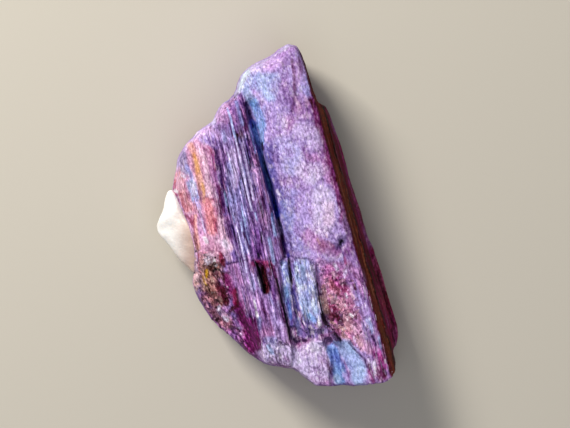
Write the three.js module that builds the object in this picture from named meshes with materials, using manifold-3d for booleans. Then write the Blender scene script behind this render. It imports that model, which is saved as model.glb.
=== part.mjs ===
// A rough specimen of pink and blue tourmaline, lying on its back. It is a bundle of parallel striated
// crystals with broken, worn ends, and a knob of white quartz on its left flank. Millimetres. +Z is up,
// +Y is towards the pointed end, and the crystals run mostly along Y, leaning to +X downwards.
import * as THREE from "three";
import { ConvexGeometry } from "three/addons/geometries/ConvexGeometry.js";
import { mergeVertices } from "three/addons/utils/BufferGeometryUtils.js";
import Module from "manifold-3d";

const wasm = await Module();
wasm.setup();

// Driving dimensions
const faceHeight = 16.8; // the broad front face above the surface it lies on
const aboveAll = 22; // a height that no part of the stone reaches
const coreHeight = 12.4; // the plain body below the crystals of the face
const grainLean = THREE.MathUtils.degToRad(13); // how far the crystals lean from Y
const edgeStep = 1.7; // length of one flat of the outline
const ledgeDepth = 0.8; // how far the ledges of a ridged wall step in
const endUnevenness = 3.5; // how far the widest height of a broken wall wanders up and down
const knobGap = 0.3; // between the quartz and its seat

// The outline seen from above, anticlockwise from the tip. On each stretch, girth is the height where the
// stone is widest, crown how far the wall leans in from there to the face, and foot how far it leans in
// down to the base. A broken wall cuts across the crystals and is uneven from flat to flat, a ridged one
// runs along them.
const stretches = [
  {
    name: "pointed end",
    wall: "broken",
    girth: 8,
    crown: 2.6,
    foot: 3.2,
    points: [[1.8, 31.1], [0.4, 30.6], [-1.4, 29], [-2.9, 28.4], [-5.1, 27.1], [-6.9, 25.3],
      [-7.5, 23.5], [-7.7, 22.2]],
  },
  {
    name: "end of the striated crystal",
    wall: "broken",
    girth: 8,
    crown: 2.2,
    foot: 3,
    points: [[-7.7, 22.2], [-9.1, 20.9], [-10.7, 19.7], [-11.5, 18.4], [-11.5, 17.4]],
  },
  {
    name: "shoulder",
    wall: "broken",
    girth: 7,
    crown: 2.4,
    foot: 3,
    points: [[-11.5, 17.4], [-12.7, 16.6], [-14.2, 15.5], [-16, 13.7], [-17.5, 11.9], [-18.4, 10],
      [-18.5, 8.2]],
  },
  {
    name: "left flank",
    wall: "ridged",
    girth: 6,
    crown: 1.6,
    foot: 2.4,
    points: [[-18.5, 8.2], [-19.1, 5.7], [-19.3, 3.6], [-18.2, 0.6], [-17, -2.4], [-16, -6],
      [-15.5, -10.9]],
  },
  {
    name: "crumbled corner",
    wall: "broken",
    girth: 5,
    crown: 5.2,
    foot: 2.6,
    points: [[-15.5, -10.9], [-15.6, -12.7], [-15.1, -14.3], [-14.4, -15.8], [-12.2, -18.9],
      [-8.7, -22.1], [-5.8, -24.9], [-2.5, -27]],
  },
  {
    name: "broken lower end",
    wall: "broken",
    girth: 8,
    crown: 1.3,
    foot: 2.6,
    points: [[-2.5, -27], [0.4, -27.5], [3.1, -27.9], [4.2, -28.9], [5.6, -30], [6.9, -30.9],
      [8.4, -31.1], [11.6, -30.9], [15.3, -30.9], [17.3, -30.6], [19.6, -30.1], [20.7, -29.6],
      [21.3, -28.5]],
  },
  {
    name: "lower right corner",
    wall: "ridged",
    girth: 7,
    crown: 0.5,
    foot: 2.2,
    points: [[21.3, -28.5], [21.5, -27], [21.1, -25.8], [20.9, -24.7]],
  },
  {
    name: "back crystal",
    wall: "ridged",
    girth: 4.6,
    crown: 0.4,
    foot: 2.2,
    points: [[20.9, -24.7], [21.5, -23.8], [22, -22.1], [21.9, -20.9], [21.3, -18.3], [20.2, -15],
      [19.1, -10.9], [17.5, -6.3], [16.2, -3.2], [14.9, 1.3], [13.1, 7], [12.2, 10.4], [11.3, 13.3],
      [10, 17.1], [9.3, 19.1], [8.5, 19.9], [7.3, 20.6]],
  },
  {
    name: "upper right edge",
    wall: "ridged",
    girth: 9,
    crown: 0.5,
    foot: 2.4,
    points: [[7.3, 20.6], [6.5, 22.4], [5.6, 25.5], [4.5, 28.6], [4, 30], [3.3, 30.7], [1.8, 31.1]],
  },
];

function seededRandom(seed) {
  let state = seed;
  return () => {
    state = (state * 1664525 + 1013904223) % 4294967296;
    return state / 4294967296;
  };
}

function solidFrom(geometry) {
  const bare = geometry.index ? geometry.toNonIndexed() : geometry.clone();
  bare.deleteAttribute("normal");
  bare.deleteAttribute("uv");
  const merged = mergeVertices(bare, 1e-4);
  return new wasm.Manifold(
    new wasm.Mesh({
      numProp: 3,
      vertProperties: merged.attributes.position.array,
      triVerts: new Uint32Array(merged.index.array),
    }),
  );
}

function geometryFrom(solid) {
  const mesh = solid.getMesh();
  const geometry = new THREE.BufferGeometry();
  geometry.setAttribute("position", new THREE.BufferAttribute(mesh.vertProperties, 3));
  geometry.setIndex(new THREE.BufferAttribute(mesh.triVerts, 1));
  return geometry;
}

// The smallest flat-faced block around some points
function block(points) {
  return solidFrom(new ConvexGeometry(points.map((p) => new THREE.Vector3(...p))));
}

// A block that stands on a plan outline whose corners carry their own heights, [x, y, low], up to one
// height
function blockOver(corners, high) {
  return block([...corners, ...corners.map(([x, y]) => [x, y, high])]);
}

// A long crystal whose section, [across, height] points, runs along a line in plan; across grows to the
// right of it
function crystal(section, start, end) {
  const from = new THREE.Vector2(...start);
  const way = new THREE.Vector2(...end).sub(from);
  const shape = new THREE.Shape(section.map(([across, height]) => new THREE.Vector2(across, height)));
  const bar = new THREE.ExtrudeGeometry(shape, { depth: way.length(), bevelEnabled: false, steps: 1 });
  const along = new THREE.Vector3(way.x, way.y, 0).normalize();
  const across = new THREE.Vector3(-along.y, along.x, 0);
  const place = new THREE.Matrix4().makeBasis(across, new THREE.Vector3(0, 0, 1), along);
  place.setPosition(from.x, from.y, 0);
  return solidFrom(bar.applyMatrix4(place));
}

function join(solids) {
  return solids.reduce((all, one) => all.add(one));
}

// Leaves out crumbs that the cuts set loose and hollows that the laths close
function largestPiece(solid) {
  return solid.decompose().reduce((best, piece) => (piece.volume() > best.volume() ? piece : best));
}

// The outline as a closed loop of flats, each with its stretch's girth, crown and foot eased into its
// neighbours'
function outlineLoop() {
  const random = seededRandom(11);
  const loop = [];
  for (const { points, wall, girth, crown, foot } of stretches) {
    const curve = new THREE.SplineCurve(points.map((p) => new THREE.Vector2(...p)));
    const flats = Math.max(2, Math.round(curve.getLength() / edgeStep));
    for (let i = 0; i < flats; i++) {
      const at = curve.getPointAt(i / flats);
      loop.push({ x: at.x, y: at.y, ledge: wall === "ridged" ? ledgeDepth : 0, girth, crown, foot });
    }
  }
  const near = (i, key) => {
    const around = [-2, -1, 0, 1, 2].map((step) => loop[(i + step + loop.length) % loop.length][key]);
    return around.reduce((sum, value) => sum + value) / around.length;
  };
  return loop.map((p, i) => {
    const ledge = near(i, "ledge");
    const uneven = 1 - ledge / ledgeDepth;
    return {
      x: p.x,
      y: p.y,
      ledge,
      girth: near(i, "girth") + (random() * 2 - 1) * endUnevenness * uneven,
      crown: near(i, "crown") * (1 + (random() - 0.5) * 1.1 * uneven),
      foot: near(i, "foot") * (1 + (random() - 0.5) * 0.9 * uneven),
    };
  });
}

// The body's rounded hull: rings of the outline, leaning in from the girth to the crown and to the foot
function envelope() {
  const loop = outlineLoop();
  const count = loop.length;
  const inward = loop.map((p, i) => {
    const before = loop[(i - 1 + count) % count];
    const after = loop[(i + 1) % count];
    return new THREE.Vector2(before.y - after.y, after.x - before.x).normalize();
  });
  // Each level's share of the way to the base, -1, or to the face, 1, and how far a ledge steps in there
  const levels = [
    [-1, 0.2], [-0.74, 0.1], [-0.66, 0.9], [-0.34, 0.8], [-0.27, 0], [0, 0], [0.2, 0], [0.27, 0.7],
      [0.55, 0.9],
    [0.62, 0.2], [0.85, 0.4], [1, 0.5], [1.3, 0.5],
  ];
  const rings = levels.map(([level, step]) =>
    loop.map((p, i) => {
      const reach = Math.min(1, Math.abs(level));
      const lean = (level < 0 ? p.foot : p.crown) * (1 - Math.sqrt(1 - reach * reach));
      const inset = lean + step * p.ledge;
      const height = level < 0 ? p.girth * (1 + level) : p.girth + (faceHeight + 1 - p.girth) * level;
      return new THREE.Vector3(p.x + inward[i].x * inset, p.y + inward[i].y * inset, height);
    }),
  );
  const hub = new THREE.Vector3(0.6, -0.5, 0);
  const corners = [...rings.flat(), hub.clone().setZ(rings[0][0].z), hub.clone().setZ(rings.at(-1)[0].z)];
  const positions = corners.flatMap((v) => [v.x, v.y, v.z]);
  const index = [];
  for (let i = 0; i < count; i++) {
    const next = (i + 1) % count;
    const top = (rings.length - 1) * count;
    index.push(next, i, corners.length - 2, top + i, top + next, corners.length - 1);
    for (let a = 0; a < top; a += count) {
      index.push(a + i, a + next, a + next + count, a + i, a + next + count, a + i + count);
    }
  }
  const geometry = new THREE.BufferGeometry();
  geometry.setAttribute("position", new THREE.Float32BufferAttribute(positions, 3));
  geometry.setIndex(index);
  return solidFrom(geometry);
}

// A section whose top runs through some [across, height] points and carries fine ridges, down to a floor
function ridgedSection(top, ridgePitch, ridgeHeight, floor, seed) {
  const random = seededRandom(seed);
  const section = [];
  for (let i = 0; i < top.length - 1; i++) {
    const [a0, h0] = top[i];
    const [a1, h1] = top[i + 1];
    const ridges = Math.max(1, Math.round((a1 - a0) / ridgePitch));
    for (let k = 0; k < ridges; k++) {
      const share = k / ridges;
      const lift = k === 0 ? 0 : (random() - 0.4) * ridgeHeight;
      section.push([a0 + (a1 - a0) * share, h0 + (h1 - h0) * share + lift]);
    }
  }
  section.push(top.at(-1), [top.at(-1)[0], floor], [top[0][0], floor]);
  return section.reverse();
}

// Where a line that leans with the grain and passes some distance right of the origin starts and ends
function grainLine(offset, lean = grainLean) {
  const reach = 40;
  const along = [Math.sin(lean), -Math.cos(lean)];
  const across = [Math.cos(lean), Math.sin(lean)];
  const middle = [across[0] * offset, across[1] * offset];
  return [
    [middle[0] - along[0] * reach, middle[1] - along[1] * reach],
    [middle[0] + along[0] * reach, middle[1] + along[1] * reach],
  ];
}

// The line in plan of the face's right edge
const rightEdge = [[3.08, 33.4], [21.2, -31.4]];

// The bright crystal on the right, from the groove to the edge, and its steep dark side
function rightCrystal() {
  const top = [
    [-15, 16.2], [-12, 16.5], [-8, 17], [-4, 17.1], [-1.2, 16.8], [0, 16.3], [0.35, 14.4], [0.9, 12.4],
      [1.35, 12],
    [1.9, 8.4], [2.4, 7.6],
  ];
  return crystal(ridgedSection(top, 1.6, 0.25, 1, 5), ...rightEdge);
}

// The striated crystal in the middle
function middleCrystal() {
  const top = [[-10, 13.8], [-9.3, 14.8], [-8.2, 16.1], [-6, 16.9], [-3, 17.3], [-1.2, 17],
    [-0.35, 16.3]];
  return crystal(ridgedSection(top, 0.55, 0.55, 1, 8), ...grainLine(0));
}

// Two crystals of the left flank, stepping down to the side
function flankCrystals() {
  const inner = [[-12.7, 13.2], [-12, 14.3], [-11, 14.8], [-10.1, 14.5], [-9.4, 14]];
  const outer = [[-20.5, 5], [-18.6, 8], [-16.6, 11], [-14.6, 13.3], [-13.3, 13.7], [-12.6, 12.8]];
  return [
    crystal(ridgedSection(inner, 0.8, 0.4, 1, 21), ...grainLine(0)),
    crystal(ridgedSection(outer, 0.9, 0.45, 1, 34), ...grainLine(0)),
  ];
}

// The crystal behind, which shows as a long lobe beside the dark side face and tapers at both ends
function backCrystal() {
  const top = [[-4.6, 7.6], [-2.9, 8.1], [-2.2, 9], [-1.3, 9.2], [-0.6, 8], [-0.1, 5.8], [0.6, 3]];
  const bar = crystal(ridgedSection(top, 1.4, 0.2, 1, 55), [8.1, 23], [22.9, -25]);
  const upperTaper = blockOver([[2, 26, 5], [16, 26, 4], [17, 16, 8.3], [9, 14, 9.3],
    [6, 18, 8]], aboveAll);
  const lowerTaper = blockOver([[15, -27, 4], [26, -25, 3], [25, -20.5, 7.6], [17, -20, 9.3]], aboveAll);
  return bar.subtract(upperTaper).subtract(lowerTaper);
}

// The plain body that all of them grow from, falling away to both sides
function core() {
  const left = [[-26, 0], [-26, 3], [-19.5, 7], [-13, coreHeight - 0.4], [6, coreHeight], [6, 0]];
  const right = [[-16, 0], [-16, coreHeight], [0.4, coreHeight - 1], [1.6, 7.8], [9, 6.2], [9, 0]];
  return join([
    crystal(left.reverse(), ...grainLine(0)),
    crystal(right.reverse(), ...rightEdge),
  ]);
}

// The groove between the striated crystal and the right one, as stations down its length
function groove() {
  const stations = [
    { y: 20.6, left: -5.5, right: -4.8, bottom: 16.4 },
    { y: 16.4, left: -5, right: -3.7, bottom: 14.2 },
    { y: 13.2, left: -4.2, right: -2.7, bottom: 13.6 },
    { y: 10.6, left: -3.5, right: -2.1, bottom: 13.6 },
    { y: 7.6, left: -2.7, right: -1.5, bottom: 13.6 },
    { y: 4.6, left: -1.9, right: -0.5, bottom: 13.6 },
    { y: 1.6, left: -1.2, right: 0.2, bottom: 13.8 },
    { y: -0.6, left: -0.4, right: 0.4, bottom: 14.4 },
    { y: -2.4, left: 0.2, right: 0.8, bottom: 14.8 },
    { y: -7.8, left: 1.1, right: 1.7, bottom: 15.2 },
  ];
  const cuts = stations.slice(1).map((s, i) =>
    block(
      [stations[i], s].flatMap(({ y, left, right, bottom }) => [
        [left, y, aboveAll],
        [right, y, aboveAll],
        [left, y, faceHeight],
        [right, y, faceHeight],
        [left + (right - left) * 0.3, y, bottom],
        [left + (right - left) * 0.7, y, bottom],
      ]),
    ),
  );
  return join(cuts);
}

// The pale wall at the head of the groove, and across from it the slope that turns away from the light
function grooveHead() {
  const paleWall = [
    [-5.6, 21.8, 16.7], [-4.7, 19.6, 15.2], [-4, 17, 14.4], [-3.2, 13.4, 13.8], [-2.7, 12.4, 14.4],
    [-2.5, 13.6, 17], [-2.1, 17.2, 17.3], [-2.9, 20.4, 17.4], [-4.4, 22.2, 17.3],
  ];
  const darkSlope = [
    [-6.1, 21.2, 17], [-5.8, 18, 17.2], [-5.5, 16.4, 17.3], [-4.4, 11.6, 17.3], [-3.8, 11.6, 15.2],
    [-4.4, 15, 14.2], [-4.9, 18, 14.6], [-5.4, 20.6, 16.2],
  ];
  return blockOver(paleWall, aboveAll).add(blockOver(darkSlope, aboveAll));
}

// The broken patches of the face, each a cut down to a slanting floor, [x, y, height] at its corners
const patches = {
  columns: [[0.3, -8.3, 16.2], [1.3, -7.8, 16.5], [6.6, -8.2, 16.5], [8.3, -18, 16.3],
    [9.4, -21.6, 15.8], [6, -23, 15.7], [2.6, -23, 15.6], [0.6, -15, 15.8]],
  crumbledRed: [[6.8, -8.8, 16.3], [8.6, -7.6, 17.4], [15, -9.5, 17.2], [17.6, -17, 16.6],
    [19.6, -24, 16.2], [14.6, -25, 15.8], [11.6, -23, 15.2], [8.4, -18.4, 14.8]],
  lowerLeftSlope: [[-9.9, -9, 14.4], [-7.3, -15, 14.9], [-3, -23.4, 14.9], [-2.4, -29, 10],
    [-9, -24.5, 7.5], [-16, -17.5, 7], [-17, -9, 9.5]],
  lowerEnd: [[-4, -21.5, 17.1], [2.2, -23, 16.8], [3.4, -33, 14.6], [-5, -30, 13.6]],
  lilacPlate: [[2.4, -23.2, 16], [8.6, -22.8, 16], [10, -33, 14.8], [2.8, -33, 15]],
  bluePlate: [[8.5, -23, 15.2], [11.8, -22.4, 15.2], [16.4, -27.6, 15.4], [16.8, -33, 15],
    [9.6, -33, 14.3]],
  brokenCorner: [[12.4, -22.4, 16.4], [21, -22, 16.2], [24, -33, 14], [16.3, -33, 15.2],
    [15.8, -27.4, 15.8]],
};

// A chip taken out of the face, from a plan outline at the top to a smaller one at its floor
function pit(corners, floor, share) {
  const [middleX, middleY] = [0, 1].map((k) => corners.reduce((sum, c) => sum + c[k], 0) / corners.length);
  return block([
    ...corners.map(([x, y]) => [x, y, aboveAll]),
    ...corners.map(([x, y]) => [x, y, floor + 1.2]),
    ...corners.map(([x, y]) => [middleX + (x - middleX) * share, middleY + (y - middleY) * share, floor]),
  ]);
}

// A narrow crack through some plan points
function crack(points, width, floor) {
  const cuts = points.slice(1).map(([x, y], i) => {
    const [x0, y0] = points[i];
    const length = Math.hypot(x - x0, y - y0);
    const side = [(-(y - y0) / length) * width * 0.5, ((x - x0) / length) * width * 0.5];
    return block([
      [x0 + side[0], y0 + side[1], aboveAll],
      [x0 - side[0], y0 - side[1], aboveAll],
      [x + side[0], y + side[1], aboveAll],
      [x - side[0], y - side[1], aboveAll],
      [x0, y0, floor],
      [x, y, floor],
    ]);
  });
  return join(cuts);
}

// Long splinters that stand proud: one on the striated crystal, and the two pale columns, the second of
// them with two ridges
function splinters() {
  return [
    blockOver([[-4.4, 8.2, 17.7], [-3.3, 8.6, 17.6], [-1.8, -1.7, 17.6], [-2.8, -2.2, 17.5]], 15),
    blockOver([[0.35, -9, 16.4], [1, -8.8, 17], [1.8, -8.7, 16.8], [3.3, -19.4, 16.6], [2.6, -20, 16.9],
      [2, -19.8, 16.3]], 15),
    blockOver([[2.5, -9, 16.5], [3.5, -8.7, 17], [4.6, -8.8, 16.8], [6.2, -19.8, 16.5], [5, -20.8, 16.8],
      [4, -20.2, 16.3]], 15),
    blockOver([[4.4, -8.8, 16.7], [5.6, -8.7, 17.2], [6.5, -9.2, 16.8], [8.1, -19.4, 16.5],
      [7.2, -20.4, 17], [6, -20.6, 16.5]], 15),
  ];
}

// All that is missing from the crystals' faces: grooves, broken patches, chips and cracks
function faceCuts() {
  return join([
    groove(),
    grooveHead(),
    ...Object.values(patches).map((corners) => blockOver(corners, aboveAll)),
    // the dark slot below the cross crack, deep at its left and stepped at its right
    pit([[-4, -8.7], [-3.2, -8.6], [-2.6, -10.6], [-2.2, -13], [-2.2, -14.5], [-2.8, -13.4], [-3.5, -10.8]],
      14.4, 0.6),
    pit([[-3.4, -8.4], [-2.4, -8.8], [-1.8, -10.2], [-1.6, -12], [-1.9, -14.2], [-2.7, -13]], 15.5, 0.75),
    // where the columns break off above the plates
    pit([[2.2, -21.8], [4.4, -21.7], [6.2, -22.5], [5.6, -23.5], [2.8, -23.9]], 14.8, 0.6),
    pit([[7.9, -22.1], [9.7, -21.7], [10, -23.7], [8.6, -23.5]], 14.6, 0.6),
    // small chips
    pit([[-3.3, -2.6], [-2.9, -2.6], [-2.6, -5], [-2.9, -5.2]], 15.6, 0.5),
    pit([[-3.4, 2.8], [-2.7, 3], [-2.2, -0.2], [-2.7, -0.4]], 16, 0.5),
    pit([[-7.7, 14.6], [-6.6, 15.2], [-6.2, 13.9], [-7.4, 13.8]], 16, 0.5),
    pit([[-11.8, -9.5], [-10.3, -9.2], [-10.5, -10.5], [-11.4, -10.4]], 12.2, 0.5),
    pit([[-11.2, -15.2], [-10.4, -15.4], [-10.7, -16.4], [-11.6, -16]], 10.4, 0.5),
    pit([[10.6, -4], [11.8, -4.1], [12.2, -5.9], [11.1, -6.1]], 16, 0.5),
    // the cross crack
    crack([[-9.8, -9], [-7.6, -8.5], [-5.1, -8.1], [-4.2, -8.4]], 0.4, 15.4),
    crack([[0.3, -8.3], [1.1, -7.5], [2.2, -7.6], [4, -7.8], [6.4, -8]], 0.35, 14.8),
    // the dark gaps on both sides of the columns and between them
    crack([[-0.7, -10.6], [-0.1, -12.6], [0.5, -15], [1.1, -17.4], [1.7, -20], [2.9, -23.6]], 0.6, 14.2),
    crack([[1.8, -7.8], [2.2, -10], [2.6, -12.4], [3, -14.4]], 0.7, 14.4),
    crack([[6.6, -8.8], [6.9, -11], [7.4, -14], [8, -17.2], [8.7, -19.4], [11.3, -23.2]], 0.7, 14),
    // the valleys of the left flank
    crack([[-11.4, 12.4], [-10.8, 9.6], [-10.3, 5.6], [-10, 1.6], [-9.7, -1.6]], 1.1, 12.4),
    crack([[-12.8, 12.2], [-11.9, 10.6], [-11.5, 7.4], [-11, 4]], 0.4, 13.4),
    crack([[-14.3, 6], [-13.7, 2.8], [-13.3, -0.4], [-12.8, -3.2]], 0.35, 12.8),
  ]);
}

// The underside is made of the same crystals: flats and steps along the grain, [across, depth] points of
// each cut
function undersideCuts() {
  const sections = [
    [[-22, -1], [-11.6, -1], [-12.2, 0.7], [-14.1, 1.5], [-16, 1.2], [-22, 3.4]],
    [[-9.4, -1], [-7.1, -1], [-8, 0.45]],
    [[-4.6, -1], [0.4, -1], [-0.4, 0.7], [-2.2, 0.9], [-3.8, 0.5]],
    [[3.2, -1], [4.8, -1], [4.2, 0.35]],
    [[7.4, -1], [10.6, -1], [9.9, 0.8], [8.2, 0.6]],
    [[13.4, -1], [24, -1], [24, 4.4], [17.2, 2.4], [15.6, 1.6], [14, 0.9]],
  ];
  return join(sections.map((section) => crystal(section, ...grainLine(0))));
}

// Finds the height of the stone's surface under a plan point
function surfaceOf(solid) {
  const mesh = new THREE.Mesh(geometryFrom(solid));
  const ray = new THREE.Raycaster();
  const down = new THREE.Vector3(0, 0, -1);
  return (x, y) => {
    ray.set(new THREE.Vector3(x, y, aboveAll), down);
    const hit = ray.intersectObject(mesh)[0];
    return hit ? hit.point.z : null;
  };
}

function strip(seed, count, from, to, spread, length, width, rise) {
  return { seed, count, from, to, spread, length, width, rise };
}

// Thin laths scattered over strips of the face, each strip a line down its middle with the room to either
// side, then the least and most length, width and rise of a lath
const lathStrips = [
  strip(3, 46, [-8.6, 18], [1.2, -20], 3.9, [5, 20], [0.5, 1.2], [0.12, 0.4]),
  strip(7, 9, [0, 24], [13, -16], 4, [5, 12], [0.8, 1.8], [0.08, 0.16]),
  strip(9, 12, [-14.2, 12], [-12, -6], 3.4, [3, 8], [0.6, 1.4], [0.15, 0.4]),
  strip(13, 10, [4.6, -9], [6, -20.5], 1.4, [3, 8], [0.35, 0.8], [0.1, 0.25]),
  strip(17, 12, [3, -24], [18, -27], 2.5, [2, 5], [0.5, 1.2], [0.1, 0.3]),
];

function laths(heightAt) {
  const made = [];
  for (const field of lathStrips) {
    const random = seededRandom(field.seed);
    const between = ([low, high]) => low + (high - low) * random();
    for (let i = 0; i < field.count; i++) {
      const share = random();
      const side = (random() * 2 - 1) * field.spread;
      const x = field.from[0] + (field.to[0] - field.from[0]) * share + side * Math.cos(grainLean);
      const y = field.from[1] + (field.to[1] - field.from[1]) * share + side * Math.sin(grainLean);
      const half = between(field.length) / 2;
      const width = between(field.width) / 2;
      const rise = between(field.rise);
      const lean = grainLean + (random() - 0.5) * 0.05;
      const along = [Math.sin(lean), -Math.cos(lean)];
      const across = [Math.cos(lean), Math.sin(lean)];
      const place = (a, b) => [x + along[0] * a + across[0] * b, y + along[1] * a + across[1] * b];
      const heights = [-half, 0, half].map((a) => heightAt(...place(a, 0)));
      const bent = Math.abs(heights[0] - heights[1]) + Math.abs(heights[2] - heights[1]);
      if (heights.includes(null) || bent > 0.45) continue;
      const [startHeight, , endHeight] = heights;
      const corner = (a, b, lift) => {
        const level = startHeight + ((endHeight - startHeight) * (a + half)) / (2 * half);
        return [...place(a, b), level + lift];
      };
      made.push(
        block([
          corner(-half, -width, -0.4),
          corner(-half, width, -0.4),
          corner(half, -width, -0.4),
          corner(half, width, -0.4),
          corner(-half + rise, width * 0.1, rise),
          corner(-half + rise, -width * 0.5, rise * 0.8),
          corner(half - rise * 2, width * 0.1, rise),
          corner(half - rise * 2, -width * 0.5, rise * 0.8),
        ]),
      );
    }
  }
  return made;
}

// Low rounded lumps over the granular faces
const lumpFields = [
  { seed: 41, count: 24, from: [0.2, 26], to: [11.5, -6], spread: 4.6, size: [2.2, 4], rise: 0.16 },
  { seed: 43, count: 8, from: [-14.5, 11], to: [-15.5, 0], spread: 2, size: [1.2, 2.2], rise: 0.25 },
  { seed: 47, count: 9, from: [1, -25], to: [17, -26.5], spread: 2.6, size: [1.4, 2.6], rise: 0.16 },
];

function lumps(heightAt) {
  const made = [];
  for (const field of lumpFields) {
    const random = seededRandom(field.seed);
    for (let i = 0; i < field.count; i++) {
      const share = (i + random()) / field.count;
      const side = (random() * 2 - 1) * field.spread;
      const x = field.from[0] + (field.to[0] - field.from[0]) * share + side;
      const y = field.from[1] + (field.to[1] - field.from[1]) * share;
      const size = field.size[0] + (field.size[1] - field.size[0]) * random();
      const around = [[0, 0], [size, 0], [-size, 0], [0, size], [0, -size]];
      const heights = around.map(([dx, dy]) => heightAt(x + dx, y + dy));
      if (heights.includes(null) || Math.max(...heights) - Math.min(...heights) > 1.5) continue;
      const lump = new THREE.IcosahedronGeometry(size, 1);
      lump.rotateZ(random() * 3);
      lump.scale(0.75, 1.3, (field.rise * 4) / size);
      lump.rotateZ(grainLean);
      lump.translate(x, y, heights[0] - field.rise * (2.6 + random()));
      made.push(solidFrom(lump));
    }
  }
  return made;
}

// Angular grains over the crumbled parts of the face
const grainFields = [
  { seed: 23, count: 34, centre: [-12, -11.5], reach: [2.6, 5.5], size: [0.5, 1] },
  { seed: 29, count: 22, centre: [-9.5, -18], reach: [2.6, 3.6], size: [0.5, 0.9] },
  { seed: 31, count: 40, centre: [12.5, -15.2], reach: [3.2, 6.4], size: [0.4, 0.85] },
  { seed: 37, count: 14, centre: [-17.3, 1.6], reach: [1.5, 3.4], size: [0.4, 0.8] },
];

function grains(heightAt) {
  const made = [];
  for (const field of grainFields) {
    const random = seededRandom(field.seed);
    for (let i = 0; i < field.count; i++) {
      const turn = random() * Math.PI * 2;
      const far = Math.sqrt(random());
      const across = Math.cos(turn) * far * field.reach[0];
      const along = Math.sin(turn) * far * field.reach[1];
      const x = field.centre[0] + across * Math.cos(grainLean) + along * Math.sin(grainLean);
      const y = field.centre[1] + across * Math.sin(grainLean) - along * Math.cos(grainLean);
      const height = heightAt(x, y);
      const size = field.size[0] + (field.size[1] - field.size[0]) * random();
      const grain = new THREE.OctahedronGeometry(size, 0);
      grain.rotateX(random() * 3);
      grain.rotateY(random() * 3);
      grain.rotateZ(random() * 3);
      grain.scale(0.8, 1.15, 0.8);
      if (height === null || height < 4) continue;
      grain.translate(x, y, height - size * 0.25);
      made.push(solidFrom(grain));
    }
  }
  return made;
}

// The quartz knob's corners, from its outer tip to the side that is grown into the flank
function knobCorners(grow) {
  const middle = new THREE.Vector3(-18.2, -2.4, 6.6);
  const corners = [
    [-22, -2, 6.6], [-21.9, -2.6, 5.2], [-21.6, -1.2, 8.2], [-21.7, -3, 7.4], [-20.9, 0.4, 7.2],
      [-20.2, 2.4, 7.4],
    [-19.6, 4.4, 7.8], [-19.2, 3.6, 9.2], [-18.2, 0.8, 10.2], [-16.6, -1.4, 10.8], [-15, -3.8, 10.8],
      [-14.6, -7, 9.8],
    [-15.2, -10.4, 8.2], [-15.7, -10.4, 6.6], [-16.8, -8, 6], [-18.4, -6.7, 6.2], [-19.8, -5, 6.6],
      [-19.2, -4.6, 8.6],
    [-17.6, -6.6, 8.4], [-20.4, 1.8, 5], [-20.6, -3, 3.4], [-18.4, -6, 3.6], [-15.6, -9, 4.4],
      [-18.6, 3.2, 3.4],
    [-14.4, 1, 4], [-13.8, -6, 4], [-14, -1, 9],
  ];
  return corners.map((corner) => {
    const out = new THREE.Vector3(...corner).sub(middle);
    return middle.clone().addScaledVector(out, 1 + grow / out.length()).toArray();
  });
}

function buildTourmaline() {
  const bundle = join([core(), rightCrystal(), middleCrystal(), ...flankCrystals(), backCrystal()]);
  const relief = bundle.subtract(faceCuts());
  const body = join([relief, ...splinters()]).intersect(envelope()).subtract(undersideCuts());
  const heightAt = surfaceOf(body);
  const dressed = join([body, ...lumps(heightAt), ...laths(heightAt), ...grains(heightAt)]);
  return largestPiece(dressed.subtract(block(knobCorners(knobGap))));
}

function buildKnob() {
  return block(knobCorners(0));
}

function namedMesh(name, solid, material) {
  const mesh = new THREE.Mesh(geometryFrom(solid), material);
  mesh.name = name;
  return mesh;
}

const tourmaline = buildTourmaline();
const knob = buildKnob();

const specimen = new THREE.Group();
specimen.add(
  namedMesh(
    "tourmaline",
    tourmaline,
    new THREE.MeshStandardMaterial({ color: "#a583b8", roughness: 0.55, metalness: 0 }),
  ),
  namedMesh(
    "quartz_knob",
    knob,
    new THREE.MeshStandardMaterial({ color: "#efece4", roughness: 0.4, metalness: 0 }),
  ),
);

// The origin is under the middle of the stone, on the surface that it lies on
const box = new THREE.Box3().setFromObject(specimen);
const middle = box.getCenter(new THREE.Vector3());
specimen.position.set(-middle.x, -middle.y, -box.min.z);

export default specimen;
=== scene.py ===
# A rough specimen of pink and blue tourmaline with a knob of milky quartz, lying on its back on a pale
# floor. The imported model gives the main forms. This script adds the fine relief, the fibres and grains,
# and the finishes.
import itertools
import math

import bmesh
import bpy
import numpy as np
from mathutils import Matrix, Vector


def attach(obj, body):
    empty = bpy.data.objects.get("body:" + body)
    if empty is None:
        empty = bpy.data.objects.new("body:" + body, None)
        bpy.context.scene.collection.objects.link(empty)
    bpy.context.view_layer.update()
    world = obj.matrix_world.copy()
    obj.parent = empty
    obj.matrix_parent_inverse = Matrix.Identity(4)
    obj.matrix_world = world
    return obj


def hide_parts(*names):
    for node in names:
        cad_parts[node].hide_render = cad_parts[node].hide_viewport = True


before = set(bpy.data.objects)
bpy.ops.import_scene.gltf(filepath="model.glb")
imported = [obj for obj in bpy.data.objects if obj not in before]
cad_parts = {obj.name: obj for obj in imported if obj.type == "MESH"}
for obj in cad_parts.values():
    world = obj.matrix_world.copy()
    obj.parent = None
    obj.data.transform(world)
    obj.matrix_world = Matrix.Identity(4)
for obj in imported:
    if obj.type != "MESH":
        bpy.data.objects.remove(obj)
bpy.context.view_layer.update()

mm = 0.001
grainLean = math.radians(13)  # how far the crystals lean from Y, seen from above

# The eye straight above, for which the outlines and strokes below are drawn; the camera stands there too
eye = {
    "height": 0.45,  # metres
    "place": (1.27, 0.23),  # mm
    "scaleHeight": 9,  # mm; the height at which the drawing's scale holds
}

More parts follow.
